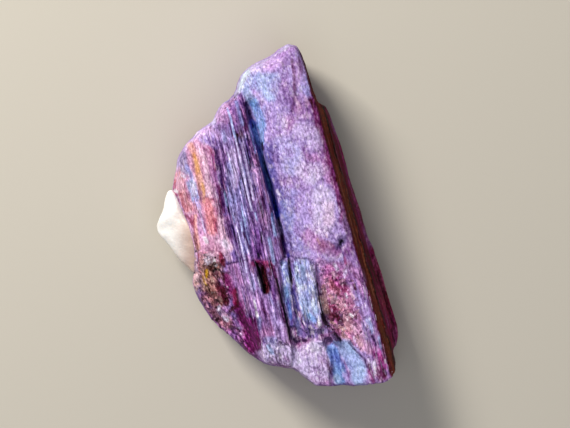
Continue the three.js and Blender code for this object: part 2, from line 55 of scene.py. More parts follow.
noiseFactors = (374761393, 668265263, 1442695041)  # large odd numbers, so that near cells get unlike values
seedFactor = 974711
mixFactor = 1274126177
noiseRange = 0xFFFFFF
layerShift = 17.3  # cells between the layers of noise, so that they don't line up
layerReach = 1.4  # about how far the layers reach together
tiny = 1e-9  # keeps a division from being by nothing
print("frame loaded")


def linear(hexColour):
    shares = [int(hexColour[i:i + 2], 16) / 255 for i in (1, 3, 5)]
    return [s / 12.92 if s <= 0.04045 else ((s + 0.055) / 1.055) ** 2.4 for s in shares]


def addNode(tree, kind, settings=None, links=None):
    node = tree.nodes.new(kind)
    for name, value in (settings or {}).items():
        setattr(node, name, value)
    for name, value in (links or {}).items():
        if isinstance(value, bpy.types.NodeSocket):
            tree.links.new(value, node.inputs[name])
        else:
            node.inputs[name].default_value = value
    return node


def smoothStep(low, high, value):
    share = np.clip((value - low) / (high - low), 0, 1)
    return share * share * (3 - 2 * share)


# Soft-edged random values on a lattice of unit cells, from 0 to 1
def latticeNoise(points, seed):
    cell = np.floor(points).astype(np.int64)
    share = smoothStep(0, 1, points - cell)
    total = np.zeros(len(points))
    for corner in itertools.product((0, 1), repeat=3):
        mixed = seed * seedFactor
        weight = 1
        for axis in range(3):
            mixed = mixed + (cell[:, axis] + corner[axis]) * noiseFactors[axis]
            weight = weight * np.abs(1 - corner[axis] - share[:, axis])
        mixed = (mixed ^ (mixed >> 13)) * mixFactor
        mixed = (mixed ^ (mixed >> 16)) & noiseRange
        total += weight * mixed / noiseRange
    return total


# Noise of a few sizes over one another, from about -1 to 1; size is in mm across, along and up
def layeredNoise(grainPlace, size, seed, layers=3):
    total = np.zeros(len(grainPlace))
    for layer in range(layers):
        points = grainPlace * (2 ** layer) / np.array(size) + layerShift * layer
        total += (latticeNoise(points, seed + layer) - 0.5) * 2 * 0.5 ** layer
    return total / layerReach


# Places in mm across the grain, along it and up
def grainPlaces(places):
    across = places[:, 0] * math.cos(grainLean) + places[:, 1] * math.sin(grainLean)
    along = places[:, 0] * math.sin(grainLean) - places[:, 1] * math.cos(grainLean)
    return np.stack([across, along, places[:, 2]], axis=1)


# Where each place of the stone appears on a drawing made from straight above
def drawnPlan(places):
    foot = np.array(eye["place"])
    height = eye["height"] / mm
    nearer = (height - eye["scaleHeight"]) / (height - places[:, 2:3])
    return foot + (places[:, :2] - foot) * nearer


def distanceToRoute(plan, route):
    nearest = np.full(len(plan), np.inf)
    steps = list(zip(route, route[1:])) or [(route[0], route[0])]
    for start, end in steps:
        start, way = np.array(start, float), np.array(end, float) - np.array(start, float)
        share = np.clip(((plan - start) @ way) / max(way @ way, tiny), 0, 1)
        nearest = np.minimum(nearest, np.linalg.norm(plan - start - share[:, None] * way, axis=1))
    return nearest


# 1 well inside an outline in plan, 0 well outside, and a slope of some mm between
def insideOutline(plan, outline, slope):
    inside = np.zeros(len(plan), bool)
    for (x0, y0), (x1, y1) in zip(outline, outline[1:] + outline[:1]):
        crosses = (y0 > plan[:, 1]) != (y1 > plan[:, 1])
        inside ^= crosses & (plan[:, 0] < (x1 - x0) * (plan[:, 1] - y0) / ((y1 - y0) or tiny) + x0)
    away = distanceToRoute(plan, outline + outline[:1])
    return smoothStep(-slope, slope, np.where(inside, away, -away))


# Parts of the face, as outlines in mm seen from above
parts = {
    "striated": [(-9.3, 24), (-5.6, 22), (-5, 17), (-2.6, 9), (-0.6, 0), (1, -7.5), (0.2, -11), (2, -19),
                 (2.8, -23.4), (2.5, -27.5), (-3.4, -26), (-3.6, -21), (-6.8, -15), (-9, -8.5), (-9.6, 0),
                 (-10.4, 11), (-12.4, 16.5)],
    "granular": [(-7.4, 23), (-2, 32), (4.5, 31), (14.6, -8), (6.6, -8), (1.6, -7.6), (-0.6, 2), (-2.4, 11),
                 (-2.4, 17), (-5, 22)],
    "flank": [(-11.5, 17), (-17, 13), (-20, 5), (-15, -7), (-9.4, -8.5), (-9.6, 0), (-10.6, 11),
              (-11.6, 15)],
    "redCrumbs": [(7.2, -8.6), (12.6, -9), (13.4, -14), (15, -19), (15.4, -24.4), (12, -22.6), (9.4, -20.5),
                  (8, -16)],
    "streaked": [(12.8, -8.6), (14.6, -8.2), (21.4, -30), (16.4, -31), (16.2, -26.4), (15.4, -24),
                 (15, -19), (13.4, -14)],
    "cornerCrumbs": [(-15.6, -6), (-10.3, -6.5), (-9, -11), (-8.2, -15), (-8, -18), (-5, -23.6), (-8, -25),
                     (-16, -16)],
    "leftCrumbs": [(-18.6, 7.4), (-16.8, 7), (-15, 1.4), (-15.2, -3), (-16.4, -2), (-19.6, 4)],
    "wornTop": [(-12.8, 16), (-11.6, 19.6), (-7.8, 22.8), (-5.2, 22.6), (-6, 18.5), (-8, 14.6), (-12, 12),
                (-15, 13)],
    "columns": [(0.2, -8.6), (6.6, -8.2), (8.4, -19), (9, -22.5), (2.6, -23), (0.4, -13)],
    "plates": [(-3.4, -22.6), (8.6, -22.6), (9.6, -26), (10.8, -33), (-4, -33)],
    "bluePlate": [(8.8, -22.8), (12, -22.8), (16.6, -28), (16.6, -33), (11, -33), (9.8, -26)],
    "wedge": [(-9.6, -10.4), (-8, -10.8), (-6.6, -15.8), (-4.6, -17.8), (-3.3, -21), (-3.3, -26), (-7, -25),
              (-8.6, -18)],
    "wall": [(-6, 22.4), (-4, 22), (-2.4, 18), (-2.3, 14), (-2.8, 12.4), (-3.4, 15), (-4.6, 18.6)],
    "groove": [(-6, 20.6), (-4.4, 17.6), (-2.9, 12), (-1.9, 8.6), (-0.6, 4), (0.6, -1), (2, -7.6),
               (0.8, -7.6), (-0.6, -1), (-2.4, 5.4), (-3.6, 10), (-5, 14.4)],
}

# Bands round broken places, which have crumbs and softened edges but no texture of their own
rims = {
    "redFringe": [(6.9, -8.4), (13.2, -8.6), (14.6, -14), (15.9, -20), (16.2, -25), (11.6, -23.2),
                  (8.8, -20.6)],
    "gapRim": [(7.8, -17.8), (8.8, -17.8), (9.8, -20.4), (10.2, -22.6), (9, -23), (8.2, -21.8),
               (7.9, -19.6)],
    "slotRim": [(-2.2, -8.4), (-1.2, -8.8), (-1.3, -12), (-1.7, -14.6), (-2.6, -14.8), (-2, -13),
                (-1.9, -10.6)],
}
outlines = {**parts, **rims}

# Inside this outline the strokes run down steep walls too; the outer walls have the colours of the bundle
innerFace = [(-7.4, 22), (-11, 18.8), (-13, 16), (-16.6, 12), (-17.8, 8), (-15.4, 0), (-14.4, -7),
             (-14.4, -13), (-8, -20), (-3, -26), (3, -29), (12, -31.4), (19.6, -30.4), (16, -18), (9, 6),
             (3.2, 27), (1.5, 30), (-3, 27.4)]
partEdges = {
    "slope": 0.6,  # mm, how softly the parts and the inner face end
    "wander": 0.8,  # mm, how far the edges of the parts stray
    "wanderSize": (1.8, 2.6, 1.8),  # mm across the grain, along it and up
    "facing": (0.05, 0.4),  # upward part of the normal where the parts begin and are full
}


def bakeModifiers(piece):
    evaluated = piece.evaluated_get(bpy.context.evaluated_depsgraph_get())
    mesh = bpy.data.meshes.new_from_object(evaluated)
    piece.modifiers.clear()
    old = piece.data
    piece.data = mesh
    bpy.data.meshes.remove(old)


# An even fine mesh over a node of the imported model, with faces that are longer along the grain
def fineCopy(node, name, voxel, stretch):
    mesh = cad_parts[node].data.copy()
    squeeze = Matrix.Diagonal((1, 1 / stretch, 1, 1)) @ Matrix.Rotation(-grainLean, 4, "Z")
    mesh.transform(squeeze)
    piece = bpy.data.objects.new(name, mesh)
    bpy.context.scene.collection.objects.link(piece)
    remesh = piece.modifiers.new("fine", "REMESH")
    remesh.mode = "VOXEL"
    remesh.voxel_size = voxel
    bakeModifiers(piece)
    piece.data.transform(squeeze.inverted())
    piece.data.materials.clear()
    piece.data.shade_smooth()
    return piece


# Fewer faces on the underside and the outer walls, whose relief is broader
def thinOut(piece, form):
    where, up = places(piece.data), normals(piece.data)
    below = smoothStep(*form["downward"], up[:, 2]) * smoothStep(*form["lowHeights"], where[:, 2])
    outside = 1 - insideOutline(drawnPlan(where), innerFace, partEdges["slope"])
    walls = smoothStep(*form["upright"], up[:, 2]) * outside
    hidden = np.maximum(below, walls) > 0.5
    group = piece.vertex_groups.new(name="hidden")
    group.add(np.flatnonzero(hidden).tolist(), 1, "REPLACE")
    thin = piece.modifiers.new("thin", "DECIMATE")
    thin.ratio = 1 - (1 - form["keptShare"]) * float(np.mean(hidden))
    thin.vertex_group = "hidden"
    bakeModifiers(piece)
    piece.vertex_groups.clear()


def places(mesh):
    flat = np.empty(len(mesh.vertices) * 3)
    mesh.vertices.foreach_get("co", flat)
    return flat.reshape(-1, 3) / mm


def normals(mesh):
    flat = np.empty(len(mesh.vertices) * 3)
    mesh.vertex_normals.foreach_get("vector", flat)
    return flat.reshape(-1, 3)


def movePlaces(mesh, newPlaces):
    mesh.vertices.foreach_set("co", (newPlaces * mm).ravel())
    mesh.update()


def store(mesh, name, kind, values):
    layer = mesh.attributes.new(name, kind, "POINT")
    field = "color" if kind == "FLOAT_COLOR" else "value"
    layer.data.foreach_set(field, np.ascontiguousarray(values, np.float32).ravel())


def storeTint(mesh, tint):
    store(mesh, "tint", "FLOAT_COLOR", np.concatenate([tint, np.ones((len(tint), 1))], axis=1))


# Each point at the mean of its neighbours, some rounds over
def easedPlaces(mesh, rounds):
    eased = places(mesh)
    edges = np.empty(len(mesh.edges) * 2, int)
    mesh.edges.foreach_get("vertices", edges)
    a, b = edges.reshape(-1, 2).T
    count = np.maximum(np.bincount(a, minlength=len(eased)) + np.bincount(b, minlength=len(eased)), 1)
    for _ in range(rounds):
        eased = np.stack([
            (np.bincount(a, eased[b, k], len(eased)) + np.bincount(b, eased[a, k], len(eased))) / count
            for k in range(3)
        ], axis=1)
    return eased


# How deep each point lies below the surface around it, in mm; hollows are positive and ridges negative
def hollowDepth(mesh, rounds):
    return np.sum((easedPlaces(mesh, rounds) - places(mesh)) * normals(mesh), axis=1)


# How much each point belongs to each part of the face, from 0 to 1, and to the rest that no part covers
def partShares(where, up):
    grain = grainPlaces(where)
    wander = [layeredNoise(grain, partEdges["wanderSize"], seed, 3) for seed in (91, 97)]
    plan = drawnPlan(where) + partEdges["wander"] * np.stack(wander, axis=1)
    facing = smoothStep(*partEdges["facing"], up[:, 2])
    slope = partEdges["slope"]
    share = {name: insideOutline(plan, outline, slope) * facing for name, outline in parts.items()}
    share["rest"] = 1 - np.clip(sum(share.values()), 0, 1)
    return share


# How strongly each kind of texture shows in each part, from 0 to 1
textureShares = {
    "ridged": {"striated": 1, "flank": 0.4, "columns": 0.5, "plates": 0.25, "granular": 0.12, "streaked": 0.5,
               "rest": 0.6},
    "crumbled": {"redCrumbs": 0.6, "cornerCrumbs": 1, "leftCrumbs": 0.4, "flank": 0.1},
    "lumpy": {"granular": 1, "flank": 1, "plates": 0.6, "rest": 0.8},
    "straight": {"striated": 1, "columns": 0.6, "flank": 0.5},
    "fibrous": {"striated": 1, "columns": 0.4, "flank": 0.3, "plates": 0.2, "rest": 0.5, "streaked": 0.5},
    "sugary": {"granular": 1, "plates": 1, "wornTop": 1, "columns": 0.7, "flank": 0.5},
    "crumbly": {"redCrumbs": 1, "cornerCrumbs": 1},
}


def showing(kind, share):
    return sum(weight * share[part] for part, weight in textureShares[kind].items())


# The kinds of fine texture
textureForm = {
    # mm across the grain, along it and up
    "sizes": {
        "broadStriae": (0.9, 70, 4), "narrowStriae": (0.4, 40, 3), "steps": (0.8, 5, 0.8),
        "ridges": (0.8, 90, 6), "splits": (1.1, 70, 6), "veins": (1.1, 1.6, 1.1), "gaps": (2.5, 9, 2.5),
        "grains": (0.55, 0.8, 0.55), "lumps": (3.2, 5, 3.2), "crumbs": (0.9, 1.1, 0.9),
    },
    "broadShare": 0.55, "narrowShare": 0.6,  # of the striae
    "lineWidths": {"ridges": 0.16, "splits": 0.12, "veins": 0.14},  # as shares of the noise's swing
    "lineOnset": (-0.15, 0.25),  # the values of the gap noise between which a line fades in
    "stepCount": 2.5,  # steps in one unit of noise
    "crumbFloor": 0.3,  # how much lower the gaps between crumbs lie, as a share of their height
}


# Thin lines where noise crosses its middle, from 0 to 1, that come and go over some length
def thinLines(grain, name, seed):
    sizes = textureForm["sizes"]
    lines = np.exp(-(layeredNoise(grain, sizes[name], seed, 1) / textureForm["lineWidths"][name]) ** 2)
    return lines * smoothStep(*textureForm["lineOnset"], layeredNoise(grain, sizes["gaps"], seed + 50, 2))


# What the relief and the colours share: how far each point is a ridge, a split, a grain or a crumb
def texture(where):
    grain = grainPlaces(where)
    form, sizes = textureForm, textureForm["sizes"]
    broad = form["broadShare"] * layeredNoise(grain, sizes["broadStriae"], 3, 1)
    narrow = form["narrowShare"] * layeredNoise(grain, sizes["narrowStriae"], 9, 2)
    steps = layeredNoise(grain, sizes["steps"], 21, 2)
    return {
        "striae": broad + narrow,
        "steps": np.round(steps * form["stepCount"]) / form["stepCount"],
        "ridges": thinLines(grain, "ridges", 101),
        "splits": thinLines(grain, "splits", 131),
        "veins": thinLines(grain, "veins", 161),
        "grains": layeredNoise(grain, sizes["grains"], 31, 2),
        "lumps": layeredNoise(grain, sizes["lumps"], 41, 2),
        "crumbs": np.abs(layeredNoise(grain, sizes["crumbs"], 51, 2)) - form["crumbFloor"],
    }


# The stone's mesh and its relief
stoneForm = {
    "voxel": 0.00016,  # metres, across the grain
    "stretch": 2.2,  # how much longer a face is along the grain
    "softening": 3,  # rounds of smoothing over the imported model's flats
    "partSoftening": {"wornTop": 30, "flank": 10, "redFringe": 24},  # rounds over worn or crumbled parts
    "softeningSlope": 0.7,  # mm, from their edges inward and outward
    "keptShare": 0.3,  # of the faces on the underside and the outer walls
    # where those begin and are full, by the upward part of the normal, and in mm of height
    "downward": (0.1, -0.3), "lowHeights": (12, 10), "upright": (0.35, 0.05),
    "ridgeHeight": 0.15,  # mm, of the striae of the ridged crystals
    "stepShare": 0.3,  # how much the small steps add to the striae
    "splitHeight": 0.13,  # mm, of the long thin ridges and splits between fibres
    "splitDepth": 1.2,  # of the splits, as a share of the ridges' height
    "wornRidges": 0.75,  # how much of the ridges is worn away on the worn top
    "grainHeight": 0.07,
    "grainEverywhere": 0.5, "grainOnLumps": 0.6,  # shares of it
    "lumpHeight": 0.2,
    "crumbHeight": 0.3,
    "flatFoot": (0.02, 0.4),  # mm; the relief begins at these heights, so that the stone lies flat
}


# Lays the fine relief over the stone: striae, grains, lumps and crumbs, each where that kind of crystal is
def relieve(mesh, form, fine):
    where, up = places(mesh), normals(mesh)
    share = partShares(where, up)
    share["striated"] = share["striated"] * (1 - form["wornRidges"] * share["wornTop"])
    ridged, crumbled, lumpy = [showing(kind, share) for kind in ("ridged", "crumbled", "lumpy")]
    grainy = form["grainEverywhere"] + lumpy * form["grainOnLumps"] + crumbled
    lift = form["ridgeHeight"] * ridged * (fine["striae"] + form["stepShare"] * fine["steps"])
    lift = lift + form["splitHeight"] * ridged * (fine["ridges"] - form["splitDepth"] * fine["splits"])
    lift = lift + form["grainHeight"] * grainy * fine["grains"]
    lift = lift + form["lumpHeight"] * lumpy * fine["lumps"] + form["crumbHeight"] * crumbled * fine["crumbs"]
    lift = lift * smoothStep(*form["flatFoot"], where[:, 2])
    moved = where + up * lift[:, None]
    moved[:, 2] = np.maximum(moved[:, 2], 0)
    movePlaces(mesh, moved)


# The colours of the crystals, as seen in soft daylight
colours = {
    "lilac": "#B79FDA", "paleLilac": "#D9C7F0", "pearl": "#D2C8F2", "mauve": "#9C76B2",
    "deepMauve": "#6E4488", "plumMauve": "#80508A", "violet": "#8270B6", "slateViolet": "#5E529C",
    "orchid": "#C08ABE", "orchidPale": "#D4B0E0", "plum": "#5E2858", "skyBlue": "#7CA4E6",
    "powderBlue": "#A8B8E8", "hazeBlue": "#B0BFF0", "greyBlue": "#969CD8", "steelBlue": "#7088C4",
    "denim": "#4E68B0", "nightBlue": "#2F3A9C", "navy": "#15123C", "inkPurple": "#36174E",
    "magenta": "#82306E", "deepMagenta": "#57144C", "crimson": "#8A2450", "garnet": "#44081C",
    "rose": "#A2628A", "pink": "#DAA6C8", "shellPink": "#EEC6DE", "salmon": "#DEA59E", "coral": "#E6908E",
    "amber": "#DA9E70", "ochre": "#C8963C", "redPink": "#D498A6", "brickRed": "#A24450", "brown": "#7C5248",
    "tan": "#D2ACA6", "whiteAndSparkle": "#F2EEF8", "frost": "#DDD6EE", "rimHighlightLilac": "#BEB6DA", "blackAndShade": "#080306",
    "sideBrown": "#54120F", "sideGold": "#6E2C1A", "sideBlackAndShadow": "#200404", "sideWine": "#6C1236",
    "grape": "#87659F", "ashLilac": "#8680A8", "rimHighlightBlue": "#BECBDA", "wine": "#6E2A58",
    "hazeLilac": "#BEB4EA",
}

# Zones of the face, in the order they are laid: colour, strength, half width and route in mm seen from above
zones = [
    # the granular crystal on the right
    ("lilac", 0.95, 7.5, [(0, 27), (3.5, 14), (7, 2), (9, -5)]),
    ("hazeBlue", 0.8, 1.6, [(-5.5, 24.6), (-3.6, 24.3), (-1, 24.2), (-1.6, 22.4)]),
    ("paleLilac", 0.4, 1.1, [(-4.4, 26.8), (-2.4, 27.8)]),
    ("orchid", 0.3, 1.2, [(-1, 28.4), (0.8, 28.4), (-1.4, 27.2)]),
    ("mauve", 0.6, 1.1, [(2.4, 30.4), (1, 29.4), (2.6, 28)]),
    # painted rim highlight along the upper outline
    ("rimHighlightLilac", 0.85, 0.8, [(2, 31.2), (0, 30.4), (-2, 29.2), (-4, 27.9), (-6, 26.2), (-7.2, 24.2),
                             (-7.5, 22.8)]),
    ("mauve", 0.45, 2, [(0.6, 23), (2.4, 21.4), (4.4, 19.4)]),
    ("plumMauve", 0.5, 1.1, [(3, 20.8), (4.8, 19.4), (5.6, 18)]),
    ("orchid", 0.5, 0.8, [(3.4, 19.4), (5, 18.2)]),
    ("orchid", 0.4, 0.7, [(3.2, 27.4), (3.5, 25), (3.4, 23.6)]),
    ("greyBlue", 0.6, 0.4, [(5.2, 25), (5.7, 23.4)]),
    ("deepMauve", 0.65, 0.5, [(2.5, 21.6), (2.7, 20), (2.4, 18.6)]),
    ("shellPink", 0.35, 0.35, [(3.2, 21.2), (3.9, 20)]),
    ("greyBlue", 0.5, 0.7, [(5, 23), (5.8, 21.6)]),
    ("plumMauve", 0.8, 0.9, [(5.8, 20.6), (6.9, 17.2), (7.7, 14.4), (8.4, 12), (9.1, 9.6), (10.4, 5.4)]),
    ("plum", 0.95, 0.45, [(6.2, 21), (7.2, 17.6), (8, 14.8), (8.7, 12.2), (9.4, 9.8), (10.8, 4.4),
                          (11.7, 0.4)]),
    ("plum", 0.7, 0.4, [(11.7, 0.4), (12.8, -4), (13.8, -7)]),
    ("paleLilac", 0.85, 0.6, [(1.1, 17.2), (1.2, 15.4)]),
    ("mauve", 0.6, 0.9, [(2.6, 16.6), (4.4, 18.2), (5.4, 18.6)]),
    ("orchid", 0.4, 0.7, [(2, 17.6), (2.2, 16.2)]),
    ("paleLilac", 0.5, 1.3, [(3.8, 15.6), (6.4, 14.8), (7, 13.2)]),
    ("hazeLilac", 0.85, 1.8, [(0.6, 12.6), (2.6, 11), (2.4, 8.8)]),
    ("mauve", 0.65, 0.95, [(5, 11.8), (5.8, 10.4), (7.6, 10.8)]),
    ("orchid", 0.5, 0.6, [(5.4, 10.8), (7.2, 10.2)]),
    ("orchid", 0.6, 0.6, [(8.3, 9.6), (8.2, 8.4), (9, 7.4), (9.4, 6.4)]),
    ("paleLilac", 0.95, 1.4, [(4.4, 8.2), (6.8, 8), (5.8, 6.8)]),
    ("mauve", 0.45, 1, [(2, 6), (4.8, 5.6), (5.6, 4.6)]),
    ("greyBlue", 0.4, 1.2, [(1.4, 4.4), (2.8, 3.4)]),
    ("violet", 0.6, 0.5, [(-0.3, 12.8), (-0.2, 11), (0.3, 10)]),
    ("slateViolet", 0.8, 0.8, [(-2, 13), (-1.4, 10), (-0.7, 6.6), (0.3, 4), (0.9, 0.6)]),
    ("slateViolet", 0.45, 0.6, [(0.9, 0.6), (1.5, -2.6), (2.2, -6), (2.4, -7.2)]),
    ("greyBlue", 0.5, 1.2, [(1.6, 2), (2.6, -2), (3.4, -5.6)]),
    ("mauve", 0.6, 0.4, [(5, 2), (6, 0.6)]),
    ("tan", 0.6, 0.4, [(6, 1), (6.6, -0.4), (7, -1.2)]),
    ("paleLilac", 0.95, 1.9, [(8, 3.4), (8.2, 0.4), (7.8, -2)]),
    ("lilac", 0.7, 1.6, [(4.6, 3), (5, 0), (4.6, -2.6)]),
    ("shellPink", 0.4, 0.9, [(9.4, 1.6), (9.2, -1)]),
    ("magenta", 0.6, 0.45, [(12, 0.2), (11.2, -1.4)]),
    ("orchid", 0.65, 1.3, [(5.6, -3.8), (7.6, -5.6)]),
    ("rose", 0.5, 0.6, [(7.6, -4.8), (9.6, -5.8)]),
    ("deepMauve", 0.8, 0.8, [(10.4, -6.4), (12.6, -6.8)]),
    ("mauve", 0.6, 0.5, [(12.8, -4.4), (13.6, -7)]),
    ("magenta", 0.4, 0.5, [(6.5, 20), (8.1, 14), (9.5, 9), (11, 3)]),
    # painted rim highlight at the upper-left corner
    ("rimHighlightBlue", 0.9, 0.8, [(-7.6, 22.8), (-7, 24.4), (-5.8, 26)]),
    ("wine", 0.5, 0.45, [(6.2, 20.6), (7.6, 15.2), (8.9, 10.8), (10.2, 6)]),
    ("slateViolet", 0.5, 0.5, [(-1.6, 11), (-1, 8.6)]),
    ("magenta", 0.5, 0.8, [(12.6, -5.8), (13, -8.4)]),
    ("rose", 0.5, 1, [(8.2, -5.8), (10.4, -7)]),
    ("deepMauve", 0.2, 0.8, [(10, -5.4), (12, -6.2)]),
    # the top of the striated crystal
    ("grape", 0.95, 3.6, [(-8.8, 17), (-6.4, 6), (-4.6, -3), (-3.4, -7.6)]),
    # painted rim highlight along the upper-left outline
    ("rimHighlightLilac", 0.9, 0.7, [(-7.6, 22.2), (-9.3, 21), (-11, 19.6), (-11.6, 18.2), (-11.6, 17.2)]),
    ("orchidPale", 0.9, 0.8, [(-10, 19.8), (-10.6, 18.6), (-10.6, 17.2)]),
    ("orchid", 0.6, 0.7, [(-8.4, 21), (-9.4, 19), (-9.6, 17.2)]),
    ("grape", 0.95, 0.9, [(-8, 20.4), (-8, 17.6), (-7.4, 15.8)]),
    ("deepMauve", 0.8, 0.6, [(-6.9, 21.6), (-6.3, 19.6), (-6, 17.8)]),
    ("plum", 0.8, 0.4, [(-6.2, 16.8), (-5.8, 15.6)]),
    ("lilac", 0.8, 1, [(-12, 15.2), (-10.6, 16), (-9.6, 14), (-9, 12.6)]),
    ("violet", 0.7, 0.5, [(-11.8, 14), (-10.6, 13.6), (-10.4, 12.4)]),
    ("hazeBlue", 0.5, 0.35, [(-10, 15.2), (-9.6, 13.6)]),
    ("paleLilac", 0.2, 0.7, [(-10.2, 19.4), (-9.8, 18)]),
    ("inkPurple", 0.5, 0.5, [(-6.5, 19), (-6.1, 17.4)]),
    ("deepMauve", 0.35, 0.6, [(-8.4, 18.8), (-7.8, 17.2)]),
    ("deepMauve", 0.35, 0.7, [(-8.3, 19), (-7.8, 17)]),
    # the long pale lines of the striated crystal and the dark ones between them
    ("greyBlue", 0.5, 1.1, [(-6.4, 13.6), (-5, 9), (-7, 3), (-6.4, -2), (-6, -6)]),
    ("slateViolet", 0.75, 0.8, [(-5.9, 13.4), (-5.3, 10.6)]),
    ("plumMauve", 0.7, 0.9, [(-5, 13), (-4.2, 10), (-4.6, 8.6)]),
    ("plum", 0.6, 0.5, [(-4.7, 10.3), (-3.6, 9.4)]),
    ("paleLilac", 0.6, 0.6, [(-8.3, 11.6), (-8, 9.6), (-7.8, 6.6)]),
    ("deepMauve", 0.6, 0.5, [(-10.2, 9.6), (-9.8, 7.4), (-9.6, 5)]),
    ("lilac", 0.5, 0.8, [(-8.8, 4), (-8.2, 1), (-7.4, -2)]),
    ("violet", 0.6, 0.7, [(-9.3, 3), (-8.9, 0), (-8.4, -3)]),
    ("mauve", 0.8, 0.5, [(-9.4, -0.6), (-9, -3), (-8.6, -5)]),
    ("deepMauve", 0.9, 1, [(-4, -3.4), (-3.8, -5.6), (-3.4, -7.4)]),
    ("orchid", 0.5, 0.6, [(-4.2, 8), (-3.9, 6.6), (-3.7, 5.6)]),
    ("plumMauve", 0.8, 0.35, [(-3.6, 6.8), (-3.1, 4.6), (-2.6, 2.6), (-2.2, 0.4)]),
    ("orchid", 0.7, 0.4, [(-2.2, 0.6), (-2.1, -1.2)]),
    ("mauve", 0.8, 0.5, [(0, -4.6), (0.2, -7.6)]),
    ("plum", 0.5, 0.7, [(-9.4, -0.8), (-8.8, -4)]),
    ("plum", 0.5, 0.5, [(-3.4, 3.6), (-3, 1.4), (-3.2, -1)]),
    ("slateViolet", 0.6, 0.55, [(-5.9, 12.6), (-5.4, 10.6)]),
    ("paleLilac", 0.2, 0.6, [(-8.2, 8.4), (-7.6, 5.8)]),
    ("violet", 0.6, 0.6, [(-4.5, 7.2), (-4, 5)]),
    ("inkPurple", 0.3, 0.7, [(-3.9, -4.4), (-3.3, -6.6)]),
    ("plum", 0.7, 0.4, [(-10.2, 4.4), (-10, 1.6)]),
    ("inkPurple", 0.35, 0.4, [(-10.6, 10.4), (-10.3, 7.6)]),
    ("greyBlue", 0.5, 0.7, [(-9, 9), (-8.6, 5), (-8.2, 1)]),
    # the groove and the pale wall at its head
    ("powderBlue", 0.8, 0.8, [(-5.9, 22.6), (-5.2, 21.4), (-4.6, 20.6)]),
    ("skyBlue", 0.8, 0.8, [(-4.3, 20.4), (-3.5, 18.2), (-3.1, 16.4)]),
    ("skyBlue", 0.85, 0.5, [(-3.1, 16.4), (-2.9, 14.6), (-2.8, 13.4)]),
    # painted shade on the slope that falls towards the groove's head
    ("plum", 0.6, 0.35, [(-6.1, 19), (-5.7, 17.4), (-5.5, 16)]),
    # below the cross crack
    ("mauve", 0.9, 1.9, [(-7, -10), (-5.4, -14), (-3.2, -18)]),
    ("orchid", 0.6, 1, [(-8.4, -9.6), (-7.4, -12)]),
    ("lilac", 0.6, 0.6, [(-6.2, -9.4), (-5.2, -13)]),
    ("orchid", 0.7, 0.45, [(-7.2, -13.6), (-6.6, -15.4), (-5.9, -17.4)]),
    ("mauve", 0.75, 1.3, [(-3, -15.6), (-1.4, -18.6)]),
    ("lilac", 0.75, 1, [(-0.6, -17.6), (0, -20.4), (0.6, -22.4)]),
    ("plumMauve", 0.7, 0.35, [(-1, -13.4), (-0.4, -16.4), (0.4, -19)]),
    ("greyBlue", 0.7, 0.35, [(-3.4, -18.8), (-3.4, -20.6)]),
    ("crimson", 0.85, 0.6, [(-4.4, -8.7), (-2.6, -8.8), (-1.3, -9)]),
    ("crimson", 0.6, 0.35, [(-1.3, -9), (-0.8, -10.2), (-0.3, -11.4)]),
    ("deepMauve", 0.8, 0.7, [(-1.3, -10.6), (-0.9, -13), (-0.5, -15)]),
    ("plumMauve", 0.4, 0.6, [(-5.4, -11), (-5, -13)]),
    # the two pale columns
    ("greyBlue", 1, 0.8, [(1.1, -9), (1.5, -12), (1.8, -15.4)]),
    ("powderBlue", 0.6, 1.8, [(4.6, -9.6), (5.2, -14), (6.2, -18)]),
    ("hazeBlue", 0.45, 0.35, [(0.8, -9.2), (1.3, -10.8), (1.9, -12.6)]),
    ("violet", 0.9, 0.45, [(2.5, -14), (3.1, -17), (3.3, -20)]),
    ("greyBlue", 0.8, 0.5, [(3.6, -19), (4, -21.4)]),
    ("violet", 0.7, 1, [(4.6, -21.4), (6.6, -21.4)]),
    ("lilac", 0.7, 0.5, [(6.4, -20.9), (8.6, -21)]),
    ("hazeBlue", 0.9, 0.4, [(3.2, -8.8), (3.4, -11.6), (4, -13.6)]),
    ("violet", 0.5, 0.35, [(4.1, -8.8), (4.2, -10.8)]),
    ("frost", 0.6, 0.4, [(6.2, -9.2), (6.5, -12.4)]),
    ("hazeBlue", 0.9, 0.45, [(4.3, -15), (4.9, -17.6)]),
    ("frost", 0.85, 0.45, [(6.3, -15), (6.7, -17.2)]),
    ("skyBlue", 0.7, 0.5, [(5.6, -18.2), (6.6, -19.2)]),
    ("denim", 0.6, 0.4, [(1.9, -16), (2.3, -18.8)]),
    ("slateViolet", 0.6, 0.7, [(5, -19.6), (6.2, -20.6)]),
    ("powderBlue", 0.8, 0.5, [(6.5, -15.6), (6.8, -17.4)]),
    ("hazeBlue", 0.95, 0.9, [(4.8, -13.8), (5.2, -16)]),
    ("paleLilac", 0.35, 0.7, [(4.6, -14), (5.2, -16)]),
    # the crumbled red patch and the streaked crystal beside it
    ("mauve", 0.9, 1.7, [(14, -8.4), (16, -15), (18.4, -22), (19.4, -28)]),
    ("rose", 0.9, 2.7, [(10.2, -11.2), (11, -15), (12.6, -19.6)]),
    ("plumMauve", 0.5, 1.2, [(9.6, -10), (10.2, -12.4)]),
    ("orchid", 0.6, 0.9, [(7.8, -8.6), (8.6, -9.6), (8.4, -12.6)]),
    ("magenta", 0.3, 0.5, [(10.8, -9), (11.6, -9.6)]),
    ("mauve", 0.9, 0.8, [(13.6, -8.8), (13.2, -11), (13, -12)]),
    ("orchid", 0.6, 0.45, [(14.6, -10), (15, -12.4), (15.6, -13.8)]),
    ("crimson", 0.55, 0.8, [(10.4, -12.9), (12, -13.3)]),
    ("shellPink", 0.7, 0.4, [(10.5, -15), (10.2, -15.9)]),
    ("pink", 0.3, 0.7, [(12.4, -15.2), (13, -17)]),
    ("crimson", 0.7, 0.4, [(9.3, -16.6), (11.6, -17.5)]),
